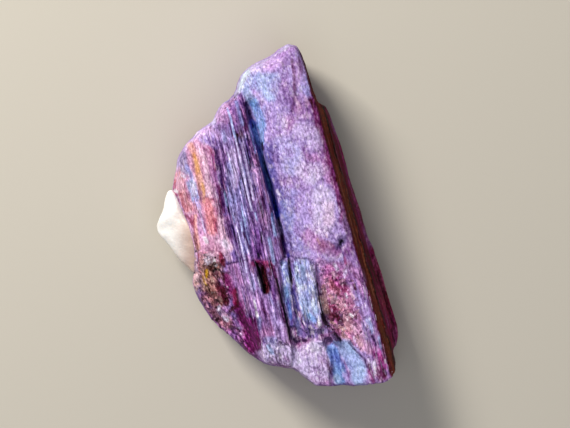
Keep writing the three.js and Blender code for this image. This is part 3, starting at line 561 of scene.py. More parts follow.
    ("tan", 0.85, 0.35, [(7.8, -15), (8.2, -16), (8.6, -17.6)]),
    ("orchid", 0.8, 0.7, [(14.2, -17.2), (14.4, -19.4), (14.6, -21.4)]),
    ("rose", 0.6, 0.4, [(15, -17.8), (15.2, -18.8)]),
    ("lilac", 0.9, 0.6, [(14.5, -14.8), (15.5, -17), (16.1, -19.4)]),
    ("hazeBlue", 0.7, 0.35, [(16.2, -18.6), (17.2, -21.2)]),
    ("plumMauve", 0.5, 0.4, [(15.2, -11.6), (16.4, -15), (17.8, -19.4), (19, -22.6)]),
    ("crimson", 0.7, 0.4, [(13, -22.3), (13.8, -23.5)]),
    ("pink", 0.8, 0.7, [(14.6, -22.2), (15.5, -24.2)]),
    ("tan", 0.5, 0.45, [(14.5, -22.4), (15.2, -23.6)]),
    ("pink", 0.6, 0.5, [(16.2, -23.2), (16.7, -25)]),
    ("magenta", 0.85, 0.8, [(17.8, -24.4), (18.7, -25.8), (19.2, -27.4)]),
    ("crimson", 0.6, 0.5, [(18.4, -25), (19, -26.4)]),
    ("frost", 0.8, 0.35, [(17.4, -26.8), (17.8, -28.6)]),
    ("magenta", 0.8, 0.5, [(16.7, -28.2), (17.2, -30)]),
    ("rose", 0.6, 0.4, [(18.2, -29), (18.8, -29.8)]),
    ("plum", 0.85, 0.45, [(20.4, -25.6), (20.7, -28.8)]),
    ("rose", 0.7, 0.8, [(12.8, -16), (13.2, -17.8)]),
    ("deepMagenta", 0.75, 0.7, [(18.6, -28), (19, -29.6)]),
    ("plumMauve", 0.5, 0.5, [(17.4, -23), (18, -24.8)]),
    ("plum", 0.6, 0.7, [(10, -18), (11.2, -19.6)]),
    ("mauve", 0.6, 0.6, [(15.4, -16.4), (16, -18.4)]),
    ("pink", 0.6, 0.8, [(14.6, -20.6), (15.4, -22.4)]),
    ("lilac", 0.8, 0.6, [(18, -20.8), (18.6, -22.4)]),
    ("magenta", 0.6, 1, [(18, -25), (19, -27.4)]),
    ("wine", 0.6, 0.6, [(18.4, -28), (19.2, -29.6)]),
    ("mauve", 0.5, 1, [(8.4, -9.4), (11.4, -10)]),
    ("plumMauve", 0.4, 0.8, [(12.4, -11.6), (13.2, -14)]),
    ("tan", 0.6, 0.4, [(8.2, -13.4), (8.6, -15.6), (9.2, -17.6)]),
    # partly the stone's dark red, partly painted shadow among the crumbs
    ("garnet", 0.6, 0.8, [(9.4, -17.8), (10.6, -19)]),
    ("orchid", 0.6, 0.6, [(13, -9), (13.6, -10)]),
    ("lilac", 0.5, 0.5, [(15.6, -16.8), (16.2, -18.4)]),
    ("tan", 0.35, 0.8, [(11.4, -16), (12.4, -18.4), (12.8, -20.4)]),
    ("salmon", 0.35, 0.7, [(9.4, -12.4), (10.6, -13.8)]),
    ("magenta", 0.55, 1.2, [(9.2, -10.2), (11.2, -11.4)]),
    ("crimson", 0.3, 1.2, [(10.2, -12.4), (11.8, -14)]),
    ("orchid", 0.4, 0.6, [(17.8, -20.4), (18.4, -22)]),
    # the plates of the lower end
    ("paleLilac", 0.95, 1.8, [(-1.4, -25), (1.6, -25.4), (3, -26)]),
    ("greyBlue", 0.6, 0.7, [(-2, -22.7), (-0.8, -22.8), (-1.4, -24.6)]),
    ("violet", 0.45, 0.5, [(-2.6, -23.4), (-1.6, -25.8)]),
    ("paleLilac", 0.9, 2.2, [(5.4, -25.6), (7, -25), (7, -28), (5.6, -28.6)]),
    ("frost", 0.6, 0.8, [(6.2, -23.8), (7.2, -24.6)]),
    ("frost", 0.85, 0.4, [(3.6, -25), (3.9, -26.6)]),
    ("mauve", 0.6, 0.5, [(7.3, -25.7), (7.9, -26.7)]),
    ("orchid", 0.5, 0.6, [(6.4, -29.6), (9.2, -30.2)]),
    ("steelBlue", 1, 1.1, [(9.9, -24.4), (10.4, -26), (10.9, -28), (11.4, -29.8)]),
    ("denim", 0.45, 0.7, [(10.2, -24.8), (10.8, -26.8), (11.2, -28)]),
    ("powderBlue", 0.95, 1.4, [(12.4, -24), (13.4, -25.8), (14.6, -27.8), (14.6, -29.6)]),
    ("greyBlue", 0.6, 0.35, [(12.6, -26), (13.4, -27.8)]),
    ("lilac", 0.7, 0.4, [(12, -29), (12.6, -30.2)]),
    ("powderBlue", 0.8, 0.4, [(10.6, -29.2), (11.2, -30.2)]),
    ("powderBlue", 0.8, 0.35, [(10.3, -22.9), (11.6, -23.4)]),
    ("paleLilac", 0.9, 1.2, [(-1.6, -24.6), (0, -24.8)]),
    ("paleLilac", 0.7, 0.8, [(6.8, -29), (8.4, -29.6)]),
    ("powderBlue", 0.9, 0.6, [(11.6, -23.8), (12.6, -24.4)]),
    # the left flank
    ("pink", 0.95, 3.2, [(-14, 13), (-14.6, 7), (-13.6, 0), (-12.6, -5)]),
    ("lilac", 0.9, 1.3, [(-13.6, 14.6), (-12.4, 14)]),
    ("deepMauve", 0.7, 0.55, [(-11.8, 12.6), (-11.2, 11.2), (-11, 9)]),
    ("violet", 0.7, 0.9, [(-12.2, 13.6), (-11.2, 12.8)]),
    ("orchidPale", 0.7, 0.6, [(-14.3, 14.4), (-13.6, 15.2)]),
    # painted rim highlight along the flank's upper-left outline
    ("pearl", 0.8, 0.55, [(-11.8, 17.2), (-13.2, 16.4), (-14.8, 15.2), (-16.6, 13), (-18, 11), (-18.5, 9)]),
    ("shellPink", 0.95, 0.65, [(-14, 11.4), (-13.2, 9.4), (-13, 7), (-12.6, 4.2)]),
    ("orchid", 0.6, 0.4, [(-12.3, 10.4), (-12, 8), (-11.8, 6)]),
    ("rose", 0.8, 0.4, [(-13.4, 12.5), (-12.6, 12), (-12, 11)]),
    ("plumMauve", 0.9, 0.35, [(-11.9, 11), (-11.6, 9), (-11.4, 7.4), (-11, 5.6), (-10.8, 4.4)]),
    ("ashLilac", 0.9, 0.8, [(-17.3, 11), (-17.2, 9), (-17, 8)]),
    ("greyBlue", 0.7, 0.4, [(-16.5, 9), (-16.2, 7.8), (-15.7, 6.8)]),
    ("shellPink", 0.7, 0.4, [(-18.2, 8.4), (-18.2, 6.8)]),
    ("salmon", 0.85, 0.6, [(-15.9, 12.8), (-15.2, 11.4), (-14.8, 9.4), (-14.4, 7), (-13.8, 5)]),
    ("hazeBlue", 0.95, 0.85, [(-15.8, 5.7), (-15.4, 4.4), (-15.1, 3.2)]),
    ("redPink", 0.9, 1, [(-18, 7), (-17.8, 5), (-17, 3), (-16.2, 1.4)]),
    ("shellPink", 0.5, 0.5, [(-18.2, 6.6), (-17.4, 5)]),
    ("rose", 0.6, 0.35, [(-16.7, 5.4), (-16.1, 3)]),
    ("brickRed", 0.8, 0.35, [(-18.9, 5), (-18.7, 3), (-18, 1), (-17.6, 0.4)]),
    ("brickRed", 0.4, 0.4, [(-16.4, 1.4), (-15.2, 0.9)]),
    ("coral", 0.7, 0.95, [(-12.8, 2.4), (-12.5, 0.8), (-12.2, -1), (-11.9, -2.8)]),
    ("crimson", 0.5, 0.45, [(-11.3, 2.6), (-11.1, 0.2), (-11.1, -2)]),
    ("orchid", 0.7, 0.35, [(-14.5, 0), (-14.2, -2), (-14, -3.2)]),
    ("whiteAndSparkle", 0.85, 0.35, [(-13.4, -4.2), (-13, -5)]),
    ("shellPink", 0.9, 0.6, [(-10.5, -0.6), (-10.2, -3.4), (-9.6, -5)]),
    ("frost", 0.75, 0.75, [(-9.9, -4.8), (-9, -5.9)]),
    ("shellPink", 0.7, 0.6, [(-9.6, -6.6), (-8.9, -7.8)]),
    ("deepMauve", 0.5, 0.5, [(-12.4, 13.6), (-11.6, 13)]),
    ("shellPink", 0.95, 0.6, [(-12.8, 6), (-12.5, 3.8)]),
    ("shellPink", 0.9, 0.8, [(-9.9, -4.6), (-9, -5.9)]),
    ("rose", 0.5, 0.4, [(-15.8, -0.4), (-15.4, -1.8)]),
    # the crumbled corner
    ("brown", 0.9, 2.2, [(-12.4, -9), (-12.2, -12), (-11.4, -15)]),
    ("pink", 0.8, 1.1, [(-13.8, -6.6), (-12.2, -6.8), (-11.4, -7.4)]),
    ("crimson", 0.7, 0.35, [(-13.4, -6.7), (-12.8, -7.4)]),
    ("frost", 0.5, 0.35, [(-12.8, -7.4), (-12.6, -8.6)]),
    ("redPink", 0.8, 0.35, [(-14, -7.4), (-13.8, -9.2)]),
    ("tan", 0.9, 0.5, [(-15.4, -7.6), (-15.4, -9.8)]),
    ("tan", 0.85, 0.5, [(-14.9, -9.4), (-14.9, -11.6), (-15, -13.4)]),
    ("lilac", 0.4, 0.4, [(-14.9, -9.4), (-15, -13)]),
    ("crimson", 0.9, 0.35, [(-10.4, -7), (-10.1, -8.8)]),
    ("plumMauve", 0.6, 0.45, [(-10.6, -12), (-10.2, -13.2)]),
    ("magenta", 0.8, 0.5, [(-8.9, -11.4), (-8.6, -12.8), (-8.2, -14)]),
    ("greyBlue", 0.6, 0.4, [(-11.4, -17), (-9.6, -18.8)]),
    ("plumMauve", 0.7, 0.5, [(-8.8, -18.6), (-7.4, -20.4)]),
    ("lilac", 0.8, 0.35, [(-13.9, -15.2), (-13.6, -15.8)]),
    ("greyBlue", 0.5, 0.5, [(-13.9, -15.6), (-12, -17)]),
    ("deepMagenta", 1, 1.1, [(-7.2, -16.4), (-6.6, -18.2), (-5.6, -20), (-5.2, -22), (-5, -24)]),
    ("deepMagenta", 1, 0.9, [(-4.6, -19.4), (-4.2, -21.6), (-3.8, -24)]),
    ("plumMauve", 0.8, 1.5, [(-13.4, -15.6), (-11, -18.2), (-9, -20.4)]),
    ("brown", 0.6, 1.1, [(-13, -15.4), (-10.8, -18), (-9.2, -19.8)]),
    ("crimson", 0.75, 0.7, [(-10.4, -13.4), (-9.4, -15.4)]),
    ("redPink", 0.5, 0.45, [(-15.2, -10.6), (-14.8, -12.4)]),
    ("wine", 0.8, 0.6, [(-9.4, -10.8), (-9, -13), (-8.2, -14.8)]),
    ("tan", 0.25, 0.6, [(-14, -8.6), (-13.8, -11), (-13.4, -13)]),
    ("plum", 0.4, 0.5, [(-11.6, -10.4), (-11, -12.6), (-10.6, -15)]),
    ("ashLilac", 0.5, 0.6, [(-10.4, -17.6), (-9.4, -18.8)]),
    ("brown", 0.35, 1.1, [(-12.6, -9.6), (-12.4, -12.4), (-11.6, -14.6)]),
    ("frost", 0.3, 0.7, [(-12.9, -7.6), (-12.2, -8)]),
]

# Thin lines, small grains, and painted shade in hollows, cracks and gaps, laid over the speckles, written as
# the zones are
lines = [
    # the granular crystal on the right
    ("plum", 0.65, 0.25, [(3.7, 28.6), (4.1, 27), (4.2, 25.9)]),
    ("plum", 0.6, 0.25, [(2.9, 23.6), (2.9, 22.8)]),
    ("shellPink", 0.25, 0.3, [(4.9, 21.6), (5.2, 20.4)]),
    ("plum", 0.35, 0.16, [(4.7, 28), (6.1, 22.8), (7.7, 17.6), (9.1, 12.4), (9.8, 10), (11.2, 4.4),
                          (13.2, -4), (14.2, -6.8)]),
    ("garnet", 0.8, 0.35, [(5.9, 20.9), (6.4, 20.1)]),
    ("deepMauve", 0.5, 0.25, [(4.6, 12.4), (4.8, 10.6), (5.4, 9.4)]),
    # painted shade in a small pit near the right edge, with a dark ring round it
    ("inkPurple", 0.6, 0.8, [(10.9, -5.4), (11.7, -4.2)]),
    ("blackAndShade", 0.8, 0.3, [(11.2, -5.2), (11.6, -4.6)]),
    ("blackAndShade", 0.95, 0.14, [(7.35, 11.65)]),
    ("plum", 0.7, 0.26, [(2.5, 28.2), (2.9, 26.4), (3, 24.4), (3.2, 22.8)]),
    ("plum", 0.6, 0.2, [(3.1, 22.4), (2.9, 20.8), (2.5, 19)]),
    ("plum", 0.5, 0.18, [(1.5, 27.2), (1.7, 25.6)]),
    ("deepMauve", 0.6, 0.26, [(0.9, 23.4), (1.4, 21.6), (1.6, 20)]),
    ("inkPurple", 0.7, 0.16, [(1.8, -3), (2.3, -4.6), (2.5, -6.6)]),
    ("tan", 0.5, 0.22, [(7.2, -4.4), (7.6, -5)]),
    ("tan", 0.45, 0.18, [(8.7, -3.6), (8.9, -4)]),
    ("rose", 0.5, 0.25, [(9.2, -4.8), (10, -5.6)]),
    # the top of the striated crystal
    ("greyBlue", 0.7, 0.3, [(-7.6, 20.6), (-7, 18.4), (-6.5, 16.6)]),
    ("hazeBlue", 1, 0.16, [(-9.2, 19.4), (-8.7, 18), (-8.4, 16.6), (-8, 15), (-7.8, 14.3)]),
    ("inkPurple", 0.7, 0.13, [(-9.1, 18), (-8.8, 16.6), (-8.4, 15), (-8.05, 13.6), (-8, 12.6)]),
    ("garnet", 0.85, 0.38, [(-7.3, 14.6), (-6.7, 14.9), (-6.5, 14.2)]),
    # the long pale lines of the striated crystal and the dark ones between them
    ("pearl", 1, 0.16, [(-9.1, 11.2), (-8.7, 9.8), (-8.3, 8), (-8, 6.6), (-7.8, 5.2)]),
    ("pearl", 1, 0.17, [(-7.7, 13.9), (-7.3, 12), (-6.9, 10), (-6.5, 8.2), (-6.1, 6.6), (-5.8, 5),
                        (-5.3, 3), (-4.8, 1)]),
    ("pearl", 1, 0.12, [(-6.6, 13.2), (-6.2, 11), (-5.6, 8.6), (-5.2, 6.6), (-4.8, 4.6), (-4.5, 2.8)]),
    ("pearl", 1, 0.15, [(-7.6, -2), (-7.3, -3.2), (-7, -4.4), (-6.7, -5.6), (-6.4, -6.8), (-6, -8.2),
                        (-5.7, -10.4)]),
    ("hazeBlue", 0.8, 0.13, [(-9.8, 4.4), (-9.5, 3), (-9.2, 1.6)]),
    ("hazeBlue", 0.8, 0.13, [(-6.6, 2), (-6.4, -0.2)]),
    ("hazeBlue", 0.9, 0.16, [(-6.7, -1.4), (-6.5, -2.8)]),
    ("hazeBlue", 0.8, 0.14, [(-6.1, -0.6), (-5.9, -2)]),
    ("hazeBlue", 0.8, 0.16, [(-4.2, 0.4), (-3.8, -0.9)]),
    ("hazeBlue", 0.7, 0.13, [(-8.2, 0.2), (-7.9, -1.2)]),
    ("hazeBlue", 0.85, 0.28, [(-1.6, -4.2), (-1.2, -6), (-0.8, -8.6)]),
    ("inkPurple", 0.95, 0.12, [(-7.9, 13.6), (-7.5, 11), (-7.1, 9), (-6.7, 7.4), (-6.2, 5.6), (-5.7, 3.4),
                               (-5.1, 0.6), (-4.4, -1.8)]),
    ("inkPurple", 0.95, 0.11, [(-7, 13), (-6.4, 10.5), (-6, 8.5), (-5.5, 6), (-5, 3.6), (-4.7, 2)]),
    ("inkPurple", 0.95, 0.11, [(-7.5, -3.4), (-7.2, -4.6), (-6.9, -5.8), (-6.5, -7.6)]),
    ("inkPurple", 0.85, 0.14, [(-10.2, 12.8), (-9.8, 11), (-9.5, 9.4), (-9.2, 7.8)]),
    ("inkPurple", 0.85, 0.26, [(-11.1, 11.8), (-10.8, 10.2), (-10.4, 8), (-10.3, 6)]),
    ("inkPurple", 0.85, 0.2, [(-10.3, 6), (-10, 4.6), (-9.8, 2), (-9.7, 0.6)]),
    ("plum", 0.9, 0.3, [(-10.8, 5.4), (-10.5, 3.6), (-10.4, 1.6), (-10.2, -0.4)]),
    ("garnet", 0.7, 0.16, [(-10.6, 4.6), (-10.4, 2.6), (-10.3, 0.6)]),
    ("plum", 0.7, 0.14, [(-6.3, -3.2), (-5.7, -4.6), (-5.2, -6)]),
    ("inkPurple", 0.8, 0.14, [(-7.7, 0.3)]),
    ("inkPurple", 0.7, 0.12, [(-9, 1.3)]),
    ("inkPurple", 0.7, 0.13, [(-4.2, -3)]),
    ("shellPink", 0.25, 0.2, [(-4.5, 7.2), (-4, 5.6)]),
    ("inkPurple", 0.3, 0.4, [(-4.6, 7), (-4.2, 5.2)]),
    ("orchid", 0.9, 0.16, [(-3.1, 8.6), (-2.7, 6.6), (-2.2, 4.2), (-1.7, 2.4)]),
    ("garnet", 0.9, 0.22, [(-3.4, 2.4), (-3, 1.2), (-2.8, -0.2)]),
    ("plum", 0.8, 0.14, [(-1.4, 1.4), (-1.4, -1), (-1.1, -3.2)]),
    ("plum", 0.8, 0.2, [(-2.6, -2.6), (-2.2, -1.6)]),
    ("blackAndShade", 0.95, 0.15, [(-3, -3), (-2.95, -4.9)]),
    ("plum", 0.6, 0.14, [(-2.1, -4), (-1.8, -6.4), (-1.3, -8.2)]),
    ("plum", 0.8, 0.2, [(-0.5, -4.2), (-0.3, -5.2)]),
    ("plum", 0.7, 0.28, [(-10.2, 4.6), (-10, 2), (-9.9, 0.4)]),
    ("inkPurple", 0.8, 0.3, [(-10.2, 4.4), (-10.05, 3), (-9.95, 1.6)]),
    # the groove and the pale wall at its head
    ("hazeBlue", 0.6, 0.3, [(-3.6, 18.6), (-3.1, 16), (-3, 14)]),
    ("greyBlue", 0.5, 0.3, [(-2.6, 19.8), (-2.4, 17.6), (-2.5, 15.4)]),
    # painted shade on the slope that falls towards the groove
    ("inkPurple", 0.9, 0.4, [(-5.8, 20.4), (-5.3, 18.6), (-4.9, 17)]),
    ("nightBlue", 0.75, 0.6, [(-4.7, 16.8), (-4.3, 15.2), (-3.8, 13.4), (-3.3, 11.8)]),
    ("denim", 0.9, 0.5, [(-3.2, 11.6), (-2.7, 9.4), (-2.3, 8)]),
    ("nightBlue", 0.8, 0.6, [(-2.2, 8), (-1.6, 5.6), (-1, 3.6)]),
    ("nightBlue", 1, 0.5, [(-0.8, 2.9), (-0.4, 1.2), (-0.1, -0.2)]),
    ("navy", 0.9, 0.25, [(0, -0.4), (0.5, -1.8), (0.8, -3.4), (1, -5)]),
    ("plum", 0.8, 0.3, [(0.3, -4.4), (0.6, -6), (1, -7.4)]),
    ("nightBlue", 0.9, 0.3, [(1.1, -5), (1.4, -6.2), (1.9, -7.6)]),
    ("denim", 0.9, 0.34, [(-4.4, 16.8), (-4, 14.6), (-3.5, 13)]),
    ("pearl", 0.9, 0.12, [(-5.3, 16.4), (-5, 15.2), (-4.7, 14), (-4.5, 13), (-4.2, 12)]),
    ("steelBlue", 0.9, 0.16, [(-4.5, 15.8), (-4.1, 14.2), (-3.7, 13)]),
    ("steelBlue", 0.9, 0.13, [(-3.9, 15.2), (-3.4, 13.4), (-3, 12), (-2.9, 11)]),
    ("denim", 0.7, 0.13, [(-2.9, 9.6), (-2.2, 7.4), (-1.7, 5.4)]),
    # the two black strokes are painted shadow in the groove
    ("blackAndShade", 0.9, 0.18, [(-2.8, 13.2), (-2.7, 12)]),
    ("blackAndShade", 0.8, 0.13, [(-4.75, 17), (-4.4, 15), (-4, 13)]),
    ("navy", 0.8, 0.16, [(-2.8, 11), (-2.2, 8.6), (-1.4, 5.6), (-0.9, 3.4), (-0.3, 0.8)]),
    ("steelBlue", 0.8, 0.12, [(-4.9, 14.6), (-4.4, 12.8), (-4.1, 11.4)]),
    ("steelBlue", 0.7, 0.12, [(-3, 9.6), (-2.6, 8)]),
    ("denim", 0.8, 0.2, [(-1.9, 6.6), (-1.4, 4.6)]),
    ("inkPurple", 0.85, 0.35, [(0.8, -3.8), (1.2, -5.4), (1.6, -6.8)]),
    ("powderBlue", 0.95, 0.28, [(-1, -0.6), (-0.8, -2), (-0.45, -3.6)]),
    ("skyBlue", 0.8, 0.14, [(-1.15, 0.4), (-1, -0.8)]),
    # painted highlight on the groove's right edge
    ("frost", 0.8, 0.2, [(-0.05, 4.4), (0.3, 3.7)]),
    ("steelBlue", 0.8, 0.2, [(-4.5, 15.6), (-4, 14), (-3.6, 12.8)]),
    # below the cross crack
    ("pearl", 0.7, 0.13, [(-5.3, -11), (-4.8, -13.4)]),
    ("frost", 0.7, 0.14, [(-3.6, -11.4), (-3.2, -13.2)]),
    ("hazeBlue", 0.6, 0.2, [(-4.7, -10.6), (-4.2, -13.4)]),
    ("inkPurple", 0.7, 0.1, [(-6.8, -9.4), (-6.2, -11.6), (-5.6, -14), (-5, -16)]),
    ("inkPurple", 0.7, 0.1, [(-5.2, -10), (-4.8, -12.4), (-4.2, -14.6)]),
    ("plum", 0.6, 0.16, [(-3.1, -15.4), (-2.6, -17.4), (-2, -19.6)]),
    ("plum", 0.7, 0.25, [(-2.8, -17), (-1.7, -18.2), (-1.1, -21)]),
    ("whiteAndSparkle", 0.85, 0.18, [(-4.3, -15.4), (-4, -16.8)]),
    ("whiteAndSparkle", 0.9, 0.22, [(-3.9, -17.7), (-3.7, -18.4)]),
    ("plum", 0.7, 0.3, [(-4.8, -8.8), (-4.6, -10.4)]),
    ("garnet", 1, 0.6, [(-2.7, -9.6), (-2.4, -11), (-2.2, -12.6), (-2.1, -13.8)]),
    # the black strokes here are painted shade in the slot
    ("blackAndShade", 1, 0.25, [(-3.8, -8.9), (-3.5, -9.8), (-3.1, -11.2), (-2.7, -12.8), (-2.4, -14)]),
    ("blackAndShade", 0.6, 0.14, [(-1.7, -10.4), (-1.6, -12), (-1.8, -13.6)]),
    # painted shade in the cross crack
    ("inkPurple", 0.9, 0.13, [(-9.8, -9), (-7.6, -8.5), (-5.1, -8.1), (-4.2, -8.4)]),
    ("inkPurple", 0.9, 0.13, [(0, -8.6), (1.1, -7.6), (2.2, -7.6), (4, -7.8), (6.4, -8)]),
    ("plum", 0.85, 0.3, [(-0.9, -9.4), (-0.4, -11.4), (0, -13.4), (0.6, -16.4), (1.2, -19.4)]),
    ("garnet", 0.9, 0.28, [(-1.6, -8.9), (-1.3, -9.8), (-1.3, -10.8)]),
    # painted shade in the slot's upper left corner
    ("blackAndShade", 0.95, 0.22, [(-4.1, -8.5), (-3.7, -9.4)]),
    ("garnet", 0.8, 0.18, [(-1.6, -12.2), (-1.7, -13.6)]),
    # the two pale columns
    ("steelBlue", 0.8, 0.3, [(1.4, -13), (1.8, -15)]),
    ("slateViolet", 0.9, 0.4, [(1.9, -15.2), (2.2, -17.4), (2.5, -20)]),
    ("skyBlue", 0.3, 0.16, [(1.4, -15.6), (1.7, -18.4)]),
    ("denim", 0.75, 0.34, [(2.1, -16.4), (2.3, -18.6)]),
    ("slateViolet", 0.85, 0.25, [(2.7, -12.6), (3.2, -15), (3.8, -17.4)]),
    ("tan", 0.25, 0.26, [(5.2, -10.2), (5.5, -11.6)]),
    ("hazeBlue", 0.55, 0.5, [(4.3, -9.4), (4.8, -11.4)]),
    ("hazeBlue", 0.6, 0.5, [(4.9, -14.2), (5.2, -16)]),
    ("frost", 0.8, 0.2, [(4.9, -12.7), (5, -13.2)]),
    ("slateViolet", 0.6, 0.14, [(5.2, -14.6), (5.5, -17)]),
    ("whiteAndSparkle", 0.95, 0.28, [(7.4, -19.3), (7.7, -19.9)]),
    ("navy", 0.7, 0.2, [(6.8, -13), (7, -14.6)]),
    ("navy", 0.8, 0.13, [(5.5, -19), (5.9, -20.6)]),
    ("navy", 0.6, 0.1, [(4.3, -18.6), (4.9, -21)]),
    ("navy", 0.7, 0.12, [(5.2, -12.4)]),
    # painted shadow in the gaps beside the columns
    ("blackAndShade", 0.95, 0.2, [(-0.3, -11.6), (0.1, -13), (0.5, -15), (1, -17), (1.5, -18.8), (1.9, -20.6),
                          (2.1, -22.6)]),
    ("blackAndShade", 0.95, 0.25, [(1.9, -8), (2.1, -9.4), (2.3, -11), (2.5, -12.4)]),
    ("slateViolet", 0.6, 0.25, [(2.6, -9), (2.8, -11.4)]),
    ("plum", 0.7, 0.14, [(6.8, -9), (7, -10.6), (7.2, -12.4)]),
    # the black and navy strokes below are painted shadow in the gap to the right of the columns
    ("blackAndShade", 0.95, 0.15, [(7.2, -12.4), (7.5, -14.4), (7.7, -16), (8.1, -18)]),
    ("blackAndShade", 0.92, 0.4, [(8.1, -18), (8.5, -19.3), (9, -20.2)]),
    ("blackAndShade", 0.9, 0.2, [(9, -20.2), (9.8, -20.8), (10.6, -21.8), (11.5, -22.7)]),
    ("navy", 0.7, 0.3, [(9.4, -21.2), (10.6, -22.4), (11.4, -22.8)]),
    # painted shadow under the lower ends of the columns
    ("inkPurple", 0.85, 0.3, [(2.4, -22.2), (3.4, -22.9), (5, -22.7)]),
    ("inkPurple", 0.6, 0.35, [(8.7, -22.3), (9.5, -22.9)]),
    # the crumbled red patch and the streaked crystal beside it
    ("crimson", 0.65, 0.25, [(12.1, -7.8), (12.4, -9)]),
    ("frost", 0.8, 0.22, [(10.3, -9), (10.8, -10)]),
    ("paleLilac", 0.8, 0.25, [(12.2, -10.2), (11.9, -11.6)]),
    ("pink", 0.6, 0.3, [(9.6, -14), (9, -14.6)]),
    # the garnet strokes are partly the stone's dark red, partly painted shadow at the patch's lower left
    ("garnet", 0.8, 0.6, [(9.4, -18.6), (10.6, -18.4), (11.4, -19.2)]),
    ("garnet", 0.7, 0.35, [(9.8, -19.4), (10.8, -20.8)]),
    ("tan", 0.7, 0.2, [(9.6, -19.4), (10.4, -19.8)]),
    ("tan", 0.6, 0.3, [(11.8, -22), (12.6, -22.2)]),
    ("whiteAndSparkle", 0.8, 0.2, [(13.2, -18.2)]),
    ("shellPink", 0.8, 0.25, [(13.3, -14.3), (13.8, -15.2)]),
    ("plum", 0.9, 0.24, [(13.9, -10.6), (14.2, -11.4)]),
    ("garnet", 0.8, 0.28, [(13.7, -12.6), (14.1, -13.4)]),
    ("deepMauve", 0.5, 0.2, [(16.3, -15.4), (17, -18), (17.8, -20.4)]),
    ("inkPurple", 0.85, 0.25, [(17.1, -22), (17.8, -23.4)]),
    ("hazeBlue", 0.8, 0.25, [(18.3, -22.2), (19, -24.2)]),
    ("paleLilac", 0.8, 0.25, [(16.4, -26.3), (16.7, -26.9)]),
    ("garnet", 0.7, 0.25, [(16.5, -27.2), (16.8, -28)]),
    ("garnet", 0.85, 0.3, [(19.2, -28.3), (19.4, -29.2)]),
    ("whiteAndSparkle", 0.8, 0.14, [(19.5, -26.4), (19.6, -26.9)]),
    ("shellPink", 0.8, 0.26, [(9.9, -10.4), (10.2, -11.4)]),
    ("shellPink", 0.7, 0.22, [(11.2, -12), (11.7, -12.5)]),
    ("tan", 0.7, 0.2, [(9.2, -14.6), (9.8, -15)]),
    ("frost", 0.7, 0.2, [(12.2, -14.4), (12.5, -15)]),
    ("garnet", 0.7, 0.24, [(11, -10.8), (11.6, -11.2)]),
    ("garnet", 0.6, 0.22, [(10.6, -14.2), (11.4, -14.6)]),
    ("whiteAndSparkle", 0.8, 0.18, [(13.3, -18.1), (13.5, -18.6)]),
    ("tan", 0.7, 0.22, [(11.2, -20.2), (12, -20.8)]),
    ("shellPink", 0.6, 0.26, [(13.4, -20), (14.2, -21.4)]),
    ("magenta", 0.35, 0.8, [(9.5, -10.2), (10.6, -11)]),
    # the plates of the lower end
    ("plumMauve", 0.6, 0.3, [(1.2, -25.9), (1.8, -26.4)]),
    ("deepMauve", 0.5, 0.1, [(5.2, -27.4), (6.6, -27.7), (8.4, -27.8)]),
    ("deepMauve", 0.5, 0.1, [(5.6, -28.8), (6.4, -28.3), (7.6, -28.1)]),
    ("plum", 0.7, 0.22, [(8.9, -26.4), (9.5, -28.6)]),
    ("whiteAndSparkle", 0.7, 0.16, [(7.2, -29.6)]),
    ("inkPurple", 0.85, 0.17, [(12.8, -23), (13.6, -24), (14.6, -25), (15.6, -26), (16.2, -27.4)]),
    ("powderBlue", 0.9, 0.34, [(11.4, -23.6), (12.4, -24.4)]),
    ("hazeBlue", 0.8, 0.34, [(-1.8, -23.8), (-1, -25)]),
    # the left flank
    ("crimson", 0.6, 0.1, [(-14, 10.6), (-14, 9.2), (-13.6, 8.2), (-13.4, 6.8), (-13, 5.6)]),
    ("crimson", 0.5, 0.14, [(-12.5, 12.2), (-11.8, 10.8), (-11.5, 8)]),
    ("frost", 0.8, 0.25, [(-17.5, 7.3), (-17, 7)]),
    ("brown", 0.4, 0.18, [(-15.8, 10.8), (-15.4, 9), (-15, 7.4), (-14.4, 5.6), (-14, 3.4)]),
    ("amber", 0.9, 0.34, [(-15.2, 11), (-14.8, 9.4), (-14.5, 7.6)]),
    ("salmon", 0.8, 0.25, [(-14.4, 7.6), (-14, 6.2)]),
    ("amber", 0.8, 0.25, [(-13.8, 5.6), (-13.5, 4.4), (-13.5, 3.8)]),
    ("salmon", 0.8, 0.25, [(-13.6, 3.6), (-13.5, 2.4)]),
    ("frost", 0.6, 0.3, [(-15.5, 5.6), (-15.2, 4.6)]),
    ("hazeLilac", 0.9, 0.34, [(-15, 3), (-14.6, 2), (-14.3, 1.4)]),
    ("crimson", 0.7, 0.28, [(-16.8, 0), (-16, -0.8), (-15.6, -1.6)]),
    ("whiteAndSparkle", 0.9, 0.25, [(-18.7, 4.5), (-18.4, 4.3)]),
    ("whiteAndSparkle", 0.8, 0.16, [(-18.2, 3.2)]),
    ("garnet", 0.8, 0.18, [(-14.6, 0.7), (-14.3, 0.4)]),
    ("crimson", 0.7, 0.12, [(-12.2, 2.8), (-11.7, 3.1), (-11.2, 2.9), (-10.9, 2.2)]),
    ("crimson", 0.6, 0.3, [(-11.8, -0.6), (-11.3, -1.8), (-11.2, -2.8)]),
    ("garnet", 0.7, 0.12, [(-11.4, -1.2), (-11.2, -1.9)]),
    ("shellPink", 0.6, 0.3, [(-11.8, 2), (-11.4, 1.8)]),
    ("paleLilac", 0.85, 0.15, [(-14.2, 1), (-13.8, -1), (-13.3, -3)]),
    ("deepMauve", 0.7, 0.09, [(-14, 0.4), (-13.6, -1), (-13.1, -3)]),
    ("salmon", 0.85, 0.28, [(-15, 0), (-15, -2), (-14.7, -4), (-14.4, -6)]),
    ("brickRed", 0.6, 0.15, [(-15.3, -0.6), (-15.2, -2), (-15, -4), (-14.6, -5.4)]),
    ("brown", 0.7, 0.3, [(-15.3, -3.6), (-14.9, -5), (-14.5, -6.4)]),
